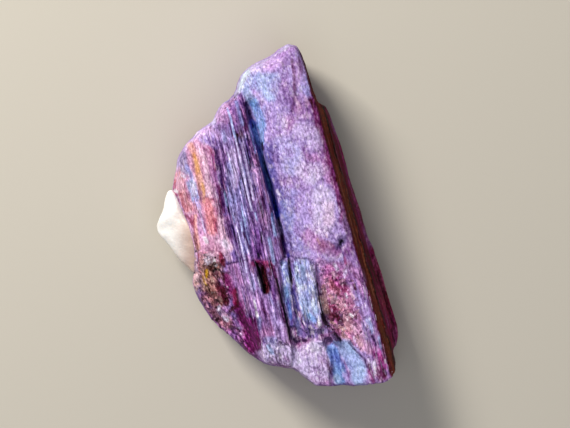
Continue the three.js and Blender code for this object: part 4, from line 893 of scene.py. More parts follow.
    ("shellPink", 0.9, 0.34, [(-13.3, 9), (-12.9, 6.6), (-12.6, 4.4)]),
    ("frost", 0.7, 0.5, [(-15.6, 5.6), (-15.2, 3.8)]),
    ("brickRed", 0.35, 0.3, [(-15.7, -0.2), (-15.5, -2)]),
    ("orchidPale", 0.6, 0.5, [(-9.9, -4.8), (-9.2, -5.8)]),
    ("whiteAndSparkle", 0.55, 0.45, [(-9.7, -4.8), (-9.2, -5.8)]),
    ("brickRed", 0.45, 0.3, [(-17.6, 3.8), (-17.2, 2), (-16.6, 0.8)]),
    ("brickRed", 0.6, 0.25, [(-18.6, 6.4), (-18.9, 5.6)]),
    ("inkPurple", 0.5, 0.2, [(-11.6, 12.4), (-11.3, 10.4), (-11.1, 8.4)]),
    ("crimson", 0.6, 0.3, [(-18.5, 3.6), (-18.3, 1.4)]),
    # the crumbled corner
    ("brickRed", 0.6, 0.12, [(-14.4, -7), (-14.5, -9), (-14.2, -10.4)]),
    ("whiteAndSparkle", 0.85, 0.2, [(-11.6, -8.3), (-11.4, -9.2)]),
    ("garnet", 0.8, 0.28, [(-9.9, -8), (-9.9, -9)]),
    # the black strokes of the corner are painted shade in its crevices
    ("blackAndShade", 0.95, 0.25, [(-11.8, -10), (-11.2, -9.9), (-10.8, -9.8)]),
    ("ochre", 1, 0.24, [(-12.9, -10), (-13, -11.2)]),
    ("tan", 0.9, 0.22, [(-13.1, -11.4), (-13.3, -12.2)]),
    ("blackAndShade", 0.8, 0.14, [(-12.8, -13), (-12.4, -13.6)]),
    ("garnet", 0.85, 0.3, [(-10, -10.6), (-9.8, -12)]),
    ("garnet", 0.9, 0.5, [(-9.9, -13.4), (-9.8, -14.6), (-9.2, -16)]),
    ("tan", 0.6, 0.22, [(-10.5, -15.1), (-10.3, -15.5)]),
    ("garnet", 0.9, 0.35, [(-7.7, -13.4), (-7.4, -15.2), (-7.6, -16.4), (-8.6, -17.4)]),
    ("blackAndShade", 0.9, 0.22, [(-11.5, -15.4), (-10.8, -15.8)]),
    ("frost", 0.8, 0.18, [(-10.6, -16.5), (-10.8, -17.4)]),
    ("frost", 0.7, 0.18, [(-9.8, -18.4), (-9.2, -19.2)]),
    ("inkPurple", 0.7, 0.3, [(-12.8, -16), (-12.2, -16.8)]),
    ("frost", 0.8, 0.14, [(-6.7, -21.6)]),
    ("frost", 0.7, 0.12, [(-7, -20.4)]),
    ("tan", 0.9, 0.34, [(-15, -10.6), (-14.8, -12.4)]),
    ("magenta", 0.95, 0.34, [(-9.4, -11), (-9.1, -12.8), (-8.5, -14)]),
    ("crimson", 0.85, 0.34, [(-8.1, -13.8), (-7.9, -15.8)]),
    ("garnet", 0.6, 0.45, [(-10.2, -13.8), (-9.8, -15.4)]),
    ("ochre", 0.7, 0.16, [(-13.6, -11.2), (-13.2, -12.6)]),
    ("tan", 0.9, 0.2, [(-12.2, -11.2), (-11.8, -12.2)]),
    ("garnet", 0.8, 0.3, [(-11, -12.6), (-10.6, -13.8)]),
    ("frost", 0.8, 0.2, [(-13.2, -8.2), (-12.8, -9)]),
    ("garnet", 0.7, 0.2, [(-12.4, -9.2), (-12, -9.8)]),
    ("shellPink", 0.45, 0.3, [(-14.9, -10.9), (-14.7, -12)]),
]

# Speckles over a part of the face: part, colour, strength, how much of the part they cover, size in mm
# the white speckles are partly pale grains and partly painted sparkle
speckles = [
    ("wall", "frost", 0.4, 0.2, 0.3), ("wall", "denim", 0.4, 0.22, 0.34),
    ("wall", "steelBlue", 0.4, 0.2, 0.7), ("groove", "steelBlue", 0.7, 0.25, 0.3),
    ("groove", "navy", 0.7, 0.25, 0.34), ("granular", "mauve", 0.3, 0.22, 0.5),
    ("granular", "whiteAndSparkle", 0.3, 0.2, 0.34), ("granular", "plum", 0.4, 0.06, 0.26),
    ("striated", "plum", 0.45, 0.2, 0.8), ("striated", "inkPurple", 0.7, 0.18, 0.23),
    ("striated", "pearl", 0.6, 0.16, 0.24), ("striated", "violet", 0.5, 0.26, 0.9),
    ("columns", "navy", 0.75, 0.13, 0.28), ("columns", "whiteAndSparkle", 0.65, 0.2, 0.3),
    ("columns", "violet", 0.5, 0.2, 0.4), ("plates", "mauve", 0.35, 0.22, 0.36),
    ("plates", "whiteAndSparkle", 0.4, 0.18, 0.34), ("plates", "violet", 0.3, 0.12, 0.4),
    ("bluePlate", "powderBlue", 0.5, 0.22, 0.5), ("bluePlate", "frost", 0.4, 0.1, 0.34),
    ("wedge", "garnet", 0.6, 0.3, 0.7), ("wedge", "magenta", 0.3, 0.3, 0.8),
    ("wedge", "orchid", 0.3, 0.07, 0.3), ("flank", "rose", 0.4, 0.16, 0.4),
    ("flank", "whiteAndSparkle", 0.3, 0.14, 0.36), ("flank", "crimson", 0.4, 0.06, 0.3),
    ("leftCrumbs", "brickRed", 0.5, 0.2, 0.4), ("leftCrumbs", "shellPink", 0.5, 0.2, 0.4),
    ("redCrumbs", "crimson", 0.6, 0.2, 0.8), ("redCrumbs", "pink", 0.6, 0.24, 0.75),
    ("redCrumbs", "tan", 0.5, 0.14, 0.6), ("redCrumbs", "garnet", 0.6, 0.08, 0.4),
    ("redCrumbs", "whiteAndSparkle", 0.5, 0.08, 0.4), ("streaked", "plum", 0.55, 0.14, 0.4),
    ("streaked", "whiteAndSparkle", 0.5, 0.12, 0.32), ("streaked", "orchid", 0.5, 0.2, 0.5),
    ("streaked", "magenta", 0.4, 0.16, 0.5), ("cornerCrumbs", "garnet", 0.7, 0.22, 0.6),
    ("cornerCrumbs", "tan", 0.6, 0.2, 0.6), ("cornerCrumbs", "blackAndShade", 0.65, 0.13, 0.4),
    ("cornerCrumbs", "ochre", 0.4, 0.06, 0.5), ("cornerCrumbs", "redPink", 0.5, 0.14, 0.6),
]
# How many times longer a speckle is along the grain, in these parts and in the rest
speckleStretch = {
    "striated": 7, "groove": 6, "streaked": 4, "columns": 3.5, "flank": 3, "wedge": 2.5, "rest": 1.7,
}


# The colour of the stone where no stroke lies: zones along the grain, as in the rest of the bundle
body = {
    "colours": ["lilac", "mauve", "violet", "rose", "greyBlue", "deepMauve"],
    "zoneSize": (5, 16, 5),  # mm
    "sharpness": 5,  # the higher, the less the colours mix
}


def bodyColours(grain):
    shares = [layeredNoise(grain, body["zoneSize"], 60 + 7 * i, 3) for i in range(len(body["colours"]))]
    shares = np.exp(np.stack(shares, axis=1) * body["sharpness"])
    shares /= shares.sum(axis=1, keepdims=True)
    return shares @ np.array([linear(colours[name]) for name in body["colours"]])


eyeGamma = 2.2  # a colour's light to this root is about how light it looks
lightShares = np.array([0.21, 0.72, 0.07])  # how much red, green and blue count in lightness


def blendIn(tint, colour, share):
    return tint + (np.array(linear(colour)) - tint) * share[:, None]


# Lighter or darker by a share of the way from black to white as the eye sees it, with the hue kept
def shaded(tint, amount):
    seen = tint ** (1 / eyeGamma)
    return np.clip(seen + amount[:, None] * (0.5 + 0.5 * seen), 0, 1) ** eyeGamma


# The steep right side: stripes beyond the face's edge, then the crystal behind with its streaks and blotches
side = {
    "edge": ((3.08, 33.4), (21.2, -31.4)),  # in plan, as in the imported model
    # the near-black stripe is painted shadow in the crease between the gold rib and the crystal behind
    # colour, where it starts in mm beyond the edge, how softly, strength, and whether the low part has it too
    "stripes": [("plum", -0.4, 0.3, 0.75, True), ("sideBrown", -0.15, 0.2, 1, False),
                ("sideGold", 0.4, 0.15, 0.7, False), ("sideBlackAndShadow", 1.1, 0.15, 1, True),
                ("sideWine", 1.5, 0.3, 1, True)],
    "lowPart": (9, 6),  # mm of height, where it begins and is full
    "lowOnset": (-0.4, 0.2), "onset": (-0.1, 0.2), "bandEnd": (1.8, 1.4), "behind": (1.6, 2.2),  # mm beyond
    "sizes": {"wear": (1.5, 9, 1.5), "fibres": (0.5, 60, 0.9), "streaks": (1.2, 14, 0.7),
              "clouds": (3, 8, 2.4)},
    "wearRange": (-0.2, 0.3), "lightRange": (0.1, 0.5), "darkRange": (-0.1, -0.5),  # of the noise
    "fibreLight": 0.16, "fibreDark": 0.08,  # as shares of the way from black to white
    "lowerEnd": (8, 22), "lowerEndPaintedLight": 0.1,  # mm along the grain; painted light, the side lighter towards its lower end where the key lamp's light falls off
    # on the crystal behind: colour, which noise, from and to which of its values, and strength
    "blotches": [("magenta", "streaks", 0.15, 0.45, 0.5), ("mauve", "clouds", -0.05, 0.35, 0.75),
                 ("rose", "clouds", -0.1, -0.4, 0.4), ("sideBlackAndShadow", "streaks", -0.15, -0.4, 0.6)],
}


def paintSide(tint, where, grain):
    (x0, y0), (x1, y1) = side["edge"]
    beyond = where[:, 0] - x0 - (x1 - x0) * (where[:, 1] - y0) / (y1 - y0)
    low = smoothStep(*side["lowPart"], where[:, 2])
    tint = blendIn(tint, colours["sideWine"], smoothStep(*side["lowOnset"], beyond) * low)
    for k, (name, start, soft, strength, lowToo) in enumerate(side["stripes"]):
        worn = smoothStep(*side["wearRange"], layeredNoise(grain, side["sizes"]["wear"], 300 + k, 2))
        cover = smoothStep(start - soft, start + soft, beyond) * (1 - (1 - strength) * 2 * worn)
        tint = blendIn(tint, colours[name], cover if lowToo else cover * (1 - low))
    onset = smoothStep(*side["onset"], beyond)
    onBand = onset * smoothStep(*side["bandEnd"], beyond) * (1 - low)
    fibres = layeredNoise(grain, side["sizes"]["fibres"], 340, 2)
    lighter = side["fibreLight"] * smoothStep(*side["lightRange"], fibres)
    tint = shaded(tint, onBand * (lighter - side["fibreDark"] * smoothStep(*side["darkRange"], fibres)))
    tint = shaded(tint, side["lowerEndPaintedLight"] * smoothStep(*side["lowerEnd"], grain[:, 1]) * onset)
    noises = {name: layeredNoise(grain, side["sizes"][name], seed, 3)
              for name, seed in (("streaks", 320), ("clouds", 330))}
    onCrystal = smoothStep(*side["behind"], beyond)
    for name, noise, start, full, strength in side["blotches"]:
        area = onCrystal * low if noise == "clouds" else onCrystal
        tint = blendIn(tint, colours[name], area * smoothStep(start, full, noises[noise]) * strength)
    return tint


# How the strokes, the speckles and the fine texture colour the stone
paintwork = {
    "wanderSize": (0.8, 1.8, 0.8),  # mm across the grain, along it and up
    "zoneWander": 0.4, "lineWander": 0.25,  # mm, how far the strokes stray
    "zoneCalm": 0.3, "lineCalm": 0.21,  # mm less of it where the crystals are straight
    "sideWander": 0.3,  # mm, how far the stripes of the steep side stray
    "tops": (0.05, 0.3), "walls": (-0.25, 0.1),  # upward part of the normal where strokes begin and are full
    "strokeEdge": (0.08, 0.3),  # softness of a stroke's edge in mm, and what its half width adds to it
    "speckleEdge": (0.06, 0.1),  # how far below and above its threshold the noise fades a speckle in
    "speckleHue": 0.3,  # how much of a speckle's own hue shows; the rest is the ground made lighter or darker
    "lightest": 0.9,  # light of a speckle at most
    # painted highlight on the raised crests and painted shade in the splits, in part also the crystal's own
    # pale and dark fibres
    "ridgeHighlight": 0.16, "splitShade": 0.26, "veinDark": 0.09,  # as shares of the way from black to white
    "striaeShare": 0.6,  # how much the striae count beside the ridges and splits
    "highs": (0.1, 0.7), "lows": (-0.1, -0.7),  # of the striae
    "wornFibres": 0.7,  # how much of the fibres is worn away on the worn top
    "steep": (0.5, 0.1),  # upward part of the normal where the calmer texture begins and is full
    "deepHollow": 0.12,  # mm; a hollow this deep gets the full painted shade
    "hollowRounds": 6,  # of smoothing, to find the surface around a hollow
}


def paintStrokes(tint, strokes, plan, facing):
    least, more = paintwork["strokeEdge"]
    for colour, strength, halfWidth, route in strokes:
        soft = least + more * halfWidth
        cover = 1 - smoothStep(halfWidth - soft, halfWidth + soft, distanceToRoute(plan, route))
        tint = blendIn(tint, colours[colour], cover * strength * facing)
    return tint


def paintSpeckles(tint, grain, share):
    below, above = paintwork["speckleEdge"]
    hue = paintwork["speckleHue"]
    for k, (part, colour, strength, amount, size) in enumerate(speckles):
        length = size * speckleStretch.get(part, speckleStretch["rest"])
        spots = layeredNoise(grain, (size, length, size), 200 + 3 * k, 2)
        edge = np.quantile(spots, 1 - amount)
        own = np.array(linear(colours[colour]))
        target = tint * (own @ lightShares / (tint @ lightShares))[:, None] * (1 - hue) + own * hue
        cover = smoothStep(edge - below, edge + above, spots) * strength * share[part]
        tint = tint + (np.minimum(target, paintwork["lightest"]) - tint) * cover[:, None]
    return tint


def paint(mesh, fine):
    where, up = places(mesh), normals(mesh)
    grain = grainPlaces(where)
    drawn = drawnPlan(where)
    wander = [layeredNoise(grain, paintwork["wanderSize"], seed, 3) for seed in (71, 83)]
    wander = np.stack(wander, axis=1)
    share = partShares(where, up)
    straight = np.clip(showing("straight", share), 0, 1)[:, None]
    # strokes lie on what faces up, and inside the inner face on steep walls too
    onWalls = smoothStep(*paintwork["walls"], up[:, 2]) * insideOutline(drawn, innerFace, partEdges["slope"])
    facing = np.maximum(onWalls, smoothStep(*paintwork["tops"], up[:, 2]))
    plan = drawn + (paintwork["zoneWander"] - paintwork["zoneCalm"] * straight) * wander
    tint = paintStrokes(bodyColours(grain), zones, plan, facing)
    tint = paintSpeckles(tint, grain, share)
    share["striated"] = share["striated"] * (1 - paintwork["wornFibres"] * share["wornTop"])
    fibrous, sugary, crumbly = [showing(kind, share) for kind in ("fibrous", "sugary", "crumbly")]
    striae = paintwork["striaeShare"]
    highStriae, lowStriae = [smoothStep(*paintwork[name], fine["striae"]) for name in ("highs", "lows")]
    crests = np.clip(fine["ridges"] + striae * highStriae, 0, 1)
    splits = np.clip(fine["splits"] + striae * lowStriae, 0, 1)
    # the crests of the relief are painted paler and its splits darker: partly the crystal's own pale and dark
    # fibres, partly painted highlight and shade
    tint = shaded(tint, fibrous * (paintwork["ridgeHighlight"] * crests - paintwork["splitShade"] * splits))
    tint = shaded(tint, -paintwork["veinDark"] * sugary * fine["veins"])
    plan = drawn + (paintwork["lineWander"] - paintwork["lineCalm"] * straight) * wander
    tint = paintStrokes(tint, lines, plan, facing)
    tint = paintSide(tint, where + paintwork["sideWander"] * np.pad(wander, ((0, 0), (0, 1))), grain)
    storeTint(mesh, np.maximum(tint, 0))
    for name, values in (
        ("fibrous", np.clip(fibrous, 0, 1)), ("sugary", np.clip(sugary, 0, 1)),
        ("steep", smoothStep(*paintwork["steep"], up[:, 2])), ("crumbly", np.clip(crumbly, 0, 1)),
        ("hollow", np.clip(hollowDepth(mesh, paintwork["hollowRounds"]) / paintwork["deepHollow"], -1, 1)),
    ):
        store(mesh, name, "FLOAT", values)


# Elbaite tourmaline, broken and a little worn by handling: a hard glassy mineral whose striae and grains
# scatter the light, so that it looks satiny and sugary instead of polished, with small glints painted into
# its colour
elbaite = {
    "fibreWidth": 0.18,  # mm
    "fibreStretch": 0.08,  # across to along
    "grainWidth": 0.19,  # mm, among the coarser of the real crumbs of 0.1 to 0.3 mm so that they show
    "grainStretch": 0.6,
    "cellWidth": 0.8,  # mm, of the pale sugary grains with a thin mauve seam round each
    "cellBend": 1.3,  # how far the seams bend, in mm
    "bendScale": 1.6, "cloudScale": 0.45,  # waves in a mm
    "glintSpacing": 0.9,  # mm, between the painted glints on small grain faces
    "fibreContrast": 0.24,  # as a share of the way from black to white
    "grainContrast": 0.19,
    "crumbContrast": 0.06,  # more of it where the stone is crumbled
    "hollowPaintedShade": 0.05,  # painted shade in the deep hollows
    "darkest": 0.02,  # as the eye sees it, from black at 0 to white at 1
    "gapShare": 1.14,  # how much deeper the dark gaps are than the mean of gaps and crests
    "seamTone": "#C3B0CA",  # of the seams between the sugary grains
    "seamStrength": 0.8, "seamReach": (0.02, 0.14),  # shares of a cell, where a seam is full and ends
    "glintStrength": 0.5, "glintReach": (0.1, 0.22),
    "patchRange": (0.38, 0.6), "leastPatch": 0.1,  # seams and glints are weaker where the clouds are dark
    "range": (0.3, 0.7), "roughRange": (0.35, 0.65),  # values of the noise that count as its ends
    "hues": (0.485, 0.515),  # a little redder and bluer from cloud to cloud
    "saturation": 1.04,
    "ior": 1.63,
    "gloss": 0.08,  # the broken surface hides part of its own reflections
    "roughness": (0.34, 0.7),  # on the smoothest and the roughest grains
    "sideRoughness": 0.95,
    "sideCalm": 0.45,  # how much weaker the texture is on the steep sides
    "reliefDepth": 0.0002,  # metres
    "reliefStrength": 0.7,
    "seamDepth": 0.3,  # as a share of the relief
}


def makeElbaite():
    material = bpy.data.materials.new("satinElbaiteTourmaline")
    material.use_nodes = True
    tree = material.node_tree
    shader = tree.nodes["Principled BSDF"]
    given = {name: addNode(tree, "ShaderNodeAttribute", {"attribute_name": name}).outputs["Fac"]
             for name in ("fibrous", "sugary", "steep", "crumbly", "hollow")}
    tint = addNode(tree, "ShaderNodeAttribute", {"attribute_name": "tint"}).outputs["Color"]
    place = addNode(tree, "ShaderNodeTexCoord").outputs["Object"]
    inGrain = addNode(tree, "ShaderNodeMapping", {}, {
        "Vector": place, "Rotation": (0, 0, -grainLean), "Scale": (1 / mm, 1 / mm, 1 / mm),
    }).outputs["Vector"]
    along, tight = [
        addNode(tree, "ShaderNodeVectorMath", {"operation": "MULTIPLY"}, {
            0: inGrain, 1: (1, stretch, 1),
        }).outputs[0]
        for stretch in (elbaite["fibreStretch"], elbaite["grainStretch"])
    ]
    fibres, grains, clouds = [
        addNode(tree, "ShaderNodeTexNoise", {}, {
            "Vector": vector, "Scale": scale, "Detail": 2.0, "Roughness": roughness,
        }).outputs["Fac"]
        for vector, scale, roughness in (
            (along, 1 / elbaite["fibreWidth"] / 2, 0.6), (tight, 1 / elbaite["grainWidth"] / 2, 0.6),
            (tight, elbaite["cloudScale"], 0.5),
        )
    ]
    bend = addNode(tree, "ShaderNodeTexNoise", {}, {
        "Vector": tight, "Scale": elbaite["bendScale"], "Detail": 2.0,
    }).outputs["Color"]
    bent = addNode(tree, "ShaderNodeVectorMath", {"operation": "MULTIPLY_ADD"}, {
        0: bend, 1: [elbaite["cellBend"]] * 3, 2: tight,
    }).outputs[0]
    toSeam = addNode(tree, "ShaderNodeTexVoronoi", {"feature": "DISTANCE_TO_EDGE"}, {
        "Vector": bent, "Scale": 1 / elbaite["cellWidth"],
    }).outputs["Distance"]
    toGlint = addNode(tree, "ShaderNodeTexVoronoi", {"feature": "F1"}, {
        "Vector": tight, "Scale": 1 / elbaite["glintSpacing"],
    }).outputs["Distance"]

    # each pattern between two of its values, and what it gives at both: gaps are dark and crests pale
    ranges = {
        "seam": (toSeam, *elbaite["seamReach"], elbaite["seamStrength"], 0),
        "glint": (toGlint, *elbaite["glintReach"], elbaite["glintStrength"], 0),
        "patches": (clouds, *elbaite["patchRange"], elbaite["leastPatch"], 1),
        "hue": (clouds, *elbaite["range"], *elbaite["hues"]),
        "roughness": (grains, *elbaite["roughRange"], *elbaite["roughness"]),
    }
    gaps = elbaite["gapShare"]
    for name, pattern in (("fibreContrast", fibres), ("grainContrast", grains), ("crumbContrast", grains)):
        ranges[name] = (pattern, *elbaite["range"], -elbaite[name] * gaps, elbaite[name] * (2 - gaps))
    sockets = ("Value", "From Min", "From Max", "To Min", "To Max")
    ranged = {name: addNode(tree, "ShaderNodeMapRange", {}, dict(zip(sockets, values))).outputs[0]
              for name, values in ranges.items()}

    # how much the fibres, grains and crumbs lighten and darken the colour, with the painted shade in the
    # hollows, all weaker on the steep sides
    light = ranged["grainContrast"]
    for pattern, weight in (
        (ranged["fibreContrast"], given["fibrous"]), (ranged["crumbContrast"], given["crumbly"]),
        (given["hollow"], -elbaite["hollowPaintedShade"]),
    ):
        light = addNode(tree, "ShaderNodeMath", {"operation": "MULTIPLY_ADD"}, {
            0: pattern, 1: weight, 2: light,
        }).outputs[0]
    calm = addNode(tree, "ShaderNodeMath", {"operation": "MULTIPLY_ADD"}, {
        0: given["steep"], 1: -elbaite["sideCalm"], 2: 1.0,
    }).outputs[0]
    light = addNode(tree, "ShaderNodeMath", {"operation": "MULTIPLY"}, {0: light, 1: calm}).outputs[0]

    # thin mauve seams between the sugary grains, clearer in some clouds than in others
    seam = ranged["seam"]
    for share in (ranged["patches"], given["sugary"]):
        seam = addNode(tree, "ShaderNodeMath", {"operation": "MULTIPLY"}, {0: seam, 1: share}).outputs[0]
    seamed = addNode(tree, "ShaderNodeMix", {"data_type": "RGBA", "blend_type": "MULTIPLY"}, {
        0: seam, 6: tint, 7: [*linear(elbaite["seamTone"]), 1],
    }).outputs[2]
    seen = addNode(tree, "ShaderNodeGamma", {}, {"Color": seamed, "Gamma": 1 / eyeGamma}).outputs[0]
    headroom = addNode(tree, "ShaderNodeVectorMath", {"operation": "MULTIPLY_ADD"}, {
        0: seen, 1: (0.5, 0.5, 0.5), 2: (0.5, 0.5, 0.5),
    }).outputs[0]
    step = addNode(tree, "ShaderNodeVectorMath", {"operation": "SCALE"}, {
        0: headroom, "Scale": light,
    }).outputs[0]
    stepped = addNode(tree, "ShaderNodeVectorMath", {"operation": "ADD"}, {0: seen, 1: step}).outputs[0]
    kept = addNode(tree, "ShaderNodeVectorMath", {"operation": "MAXIMUM"}, {
        0: stepped, 1: [elbaite["darkest"]] * 3,
    }).outputs[0]
    withCrests = addNode(tree, "ShaderNodeGamma", {}, {"Color": kept, "Gamma": eyeGamma}).outputs[0]

    # painted glints: tiny broken grain faces painted brighter, as if they caught the light
    glint = addNode(tree, "ShaderNodeMath", {"operation": "MULTIPLY"}, {
        0: ranged["glint"], 1: ranged["patches"],
    }).outputs[0]
    withGlints = addNode(tree, "ShaderNodeMix", {"data_type": "RGBA", "blend_type": "SCREEN"}, {
        0: glint, 6: withCrests, 7: withCrests,
    }).outputs[2]
    varied = addNode(tree, "ShaderNodeHueSaturation", {}, {
        "Color": withGlints, "Hue": ranged["hue"], "Saturation": elbaite["saturation"],
    }).outputs[0]
    tree.links.new(varied, shader.inputs["Base Color"])

    roughSides = addNode(tree, "ShaderNodeMix", {}, {
        "Factor": given["steep"], 2: ranged["roughness"], 3: elbaite["sideRoughness"],
    }).outputs[0]
    tree.links.new(roughSides, shader.inputs["Roughness"])
    grit = grains
    for pattern, weight in (
        (grains, given["crumbly"]), (seam, -elbaite["seamDepth"]), (fibres, given["fibrous"]),
    ):
        grit = addNode(tree, "ShaderNodeMath", {"operation": "MULTIPLY_ADD"}, {
            0: pattern, 1: weight, 2: grit,
        }).outputs[0]
    bump = addNode(tree, "ShaderNodeBump", {}, {
        "Strength": elbaite["reliefStrength"], "Distance": elbaite["reliefDepth"], "Height": grit,
    }).outputs[0]
    tree.links.new(bump, shader.inputs["Normal"])
    shader.inputs["IOR"].default_value = elbaite["ior"]
    shader.inputs["Specular IOR Level"].default_value = elbaite["gloss"]
    return material


def makeStone(material):
    piece = fineCopy("tourmaline", "tourmalineCrystals", stoneForm["voxel"], stoneForm["stretch"])
    movePlaces(piece.data, easedPlaces(piece.data, stoneForm["softening"]))
    for name, rounds in stoneForm["partSoftening"].items():
        where = places(piece.data)
        share = insideOutline(drawnPlan(where), outlines[name], stoneForm["softeningSlope"])[:, None]
        movePlaces(piece.data, where + share * (easedPlaces(piece.data, rounds) - where))
    thinOut(piece, stoneForm)
    print("stone meshed:", len(piece.data.vertices), "points")
    fine = texture(places(piece.data))
    relieve(piece.data, stoneForm, fine)
    paint(piece.data, fine)
    piece.data.shade_smooth()
    piece.data.materials.append(material)
    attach(piece, "root")
    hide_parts("tourmaline")
    print("stone painted")
    return piece


# Loose-looking crumbs of the broken parts, fused to the stone
crumbForm = {
    # outline: count, least and most size in mm, and colours, the first of which are the most common
    "places": {
        "redCrumbs": (330, 0.4, 1.8, ["rose", "pink", "mauve", "crimson", "shellPink", "garnet", "tan",
                                      "whiteAndSparkle"]),
        "redFringe": (150, 0.22, 0.7, ["orchid", "rose", "mauve", "pink", "plum"]),
        "streaked": (90, 0.25, 0.6, ["pink", "magenta", "paleLilac", "frost"]),
        "cornerCrumbs": (480, 0.25, 1.3, ["brown", "tan", "garnet", "redPink", "blackAndShade", "crimson", "brown",
                                          "whiteAndSparkle"]),
        "leftCrumbs": (170, 0.22, 0.7, ["redPink", "salmon", "rose", "brickRed", "whiteAndSparkle"]),
        "slotRim": (46, 0.3, 0.9, ["garnet", "plum", "crimson", "mauve"]),
        "gapRim": (60, 0.3, 0.9, ["violet", "mauve", "plum", "greyBlue", "rose"]),
    },
    "scatter": 0.35,  # mm, how far crumbs stray over the outline
    "smallShare": 3,  # the higher, the fewer are large
    "commonShare": 1.4,  # the higher, the more have the first colours
    "shape": (0.7, 1.25, 0.7),
    "reach": (0.7, 0.6),  # of a corner from the middle: the least, and what chance adds
    "sink": 0.32,  # how far a crumb's middle lies inside the stone, as a share of its size
    "ownColour": (0.05, 0.35),  # its own colour beside the stone's: the least, and what chance adds
    "darkest": 0.2, "lightSpread": 0.28,  # as shares of the way from black to white
    "lowest": 4, "steepest": 0.45,  # mm, and the upward part of the normal; below these there are none
}

# Splinters that lie along the grain
splinterForm = {
    # part: count, least and most length in mm, least and most width in mm, colours
    "places": {
        "striated": (240, 2, 9, 0.1, 0.22, ["paleLilac", "hazeBlue", "lilac", "deepMauve", "mauve"]),
        "columns": (90, 1, 3, 0.14, 0.34, ["frost", "hazeBlue", "greyBlue", "violet", "navy", "paleLilac"]),
        "flank": (60, 1.2, 4, 0.14, 0.34, ["frost", "shellPink", "salmon", "rose", "lilac"]),
        "streaked": (80, 1, 4, 0.14, 0.3, ["frost", "plum", "paleLilac", "magenta", "pink"]),
        "plates": (40, 0.8, 2.5, 0.14, 0.3, ["frost", "paleLilac", "mauve"]),
    },
    "leanSpread": 0.05,  # radians
    "steepest": 0.35,  # the upward part of the normal
    "bend": 0.25,  # mm; where the stone bends more than this there is none
    "sink": 0.1,  # mm, how far the edges lie inside the stone
    "leastTaper": 0.25,  # of the ends, as a share of the width
    "leastRise": 0.5,  # above the stone, as a share of half the width
    "crests": (0.3, 0.4),  # the two upper edges, left and right of the middle, as shares of half the width
    "rightRise": 0.8,  # of the right one, as a share of the left one's
    "ownColour": 0.28, "stoneColour": 0.72,
}


# A place in plan inside an outline, by chance
def scatterPlan(random, outline):
    low, high = np.min(outline, axis=0), np.max(outline, axis=0)
    sharp = 0.01  # mm
    while True:
        point = low + (high - low) * random.random(2)
        if insideOutline(point[None], outline, sharp)[0] > 0.5:
            return point


# The stone's surface below a place in plan: where, its normal and the nearest point of the mesh
def surfaceUnder(stone, plan):
    aboveAll = 0.03  # metres
    hit, place, normal, face = stone.ray_cast(Vector((*(plan * mm), aboveAll)), Vector((0, 0, -1)))
    return (np.array(place) / mm, np.array(normal), stone.data.polygons[face].vertices[0]) if hit else None


def pieceFrom(name, corners, faces, tints, material):
    mesh = bpy.data.meshes.new(name)
    mesh.from_pydata((np.array(corners) * mm).tolist(), [], faces)
    storeTint(mesh, np.array(tints))
    for attribute, value in (("fibrous", 0), ("crumbly", 0.2), ("hollow", 0)):
        store(mesh, attribute, "FLOAT", np.full(len(tints), value))
    mesh.shade_flat()
    mesh.materials.append(material)
    piece = bpy.data.objects.new(name, mesh)
    bpy.context.scene.collection.objects.link(piece)
    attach(piece, "root")
    print(name, "has", len(faces), "faces")


def tintsOf(stone):
    flat = np.empty(len(stone.data.vertices) * 4, np.float32)
    stone.data.attributes["tint"].data.foreach_get("color", flat)
    return flat.reshape(-1, 4)[:, :3]


def makeCrumbs(stone, material):
    random = np.random.default_rng(5)
    template = bmesh.new()
    bmesh.ops.create_icosphere(template, subdivisions=1, radius=1)
    ball = np.array([v.co for v in template.verts])
    sides = np.array([[v.index for v in f.verts] for f in template.faces])
    template.free()
    stoneTints = tintsOf(stone)
    form = crumbForm
    corners, faces, tints = [], [], []
    for part, (count, least, most, names) in form["places"].items():
        for _ in range(count):
            spot = scatterPlan(random, outlines[part]) + random.normal(size=2) * form["scatter"]
            found = surfaceUnder(stone, spot)
            size = least + (most - least) * random.random() ** form["smallShare"]
            rough = ball * (form["reach"][0] + form["reach"][1] * random.random((len(ball), 1)))
            turn = np.linalg.qr(random.normal(size=(3, 3)))[0]
            rough = (rough * np.array(form["shape"])) @ turn * size / 2
            name = names[min(int(random.random() ** form["commonShare"] * len(names)), len(names) - 1)]
            ownColour = form["ownColour"][0] + form["ownColour"][1] * random.random()
            light = form["lightSpread"] * random.random() - form["darkest"]
            if found is None or found[0][2] < form["lowest"] or found[1][2] < form["steepest"]:
                continue
            place, normal, nearest = found
            faces.extend((sides + len(corners)).tolist())
            corners.extend((rough + place - normal * size * form["sink"]).tolist())
            tint = stoneTints[nearest] * (1 - ownColour) + np.array(linear(colours[name])) * ownColour
            tints.extend(shaded(tint[None], np.array([light])).repeat(len(ball), axis=0))
    pieceFrom("tourmalineCrumbs", corners, faces, tints, material)


# The four corners of a splinter where it passes one place: two inside the stone and two above it
def splinterCorners(place, normal, way, width, rise):
    side = np.cross(normal, [way[0], way[1], 0]) * width
    sink = normal * splinterForm["sink"]
    left, right = splinterForm["crests"]
    return [place - side - sink, place - side * left + normal * rise,
            place + side * right + normal * rise * splinterForm["rightRise"], place + side - sink]


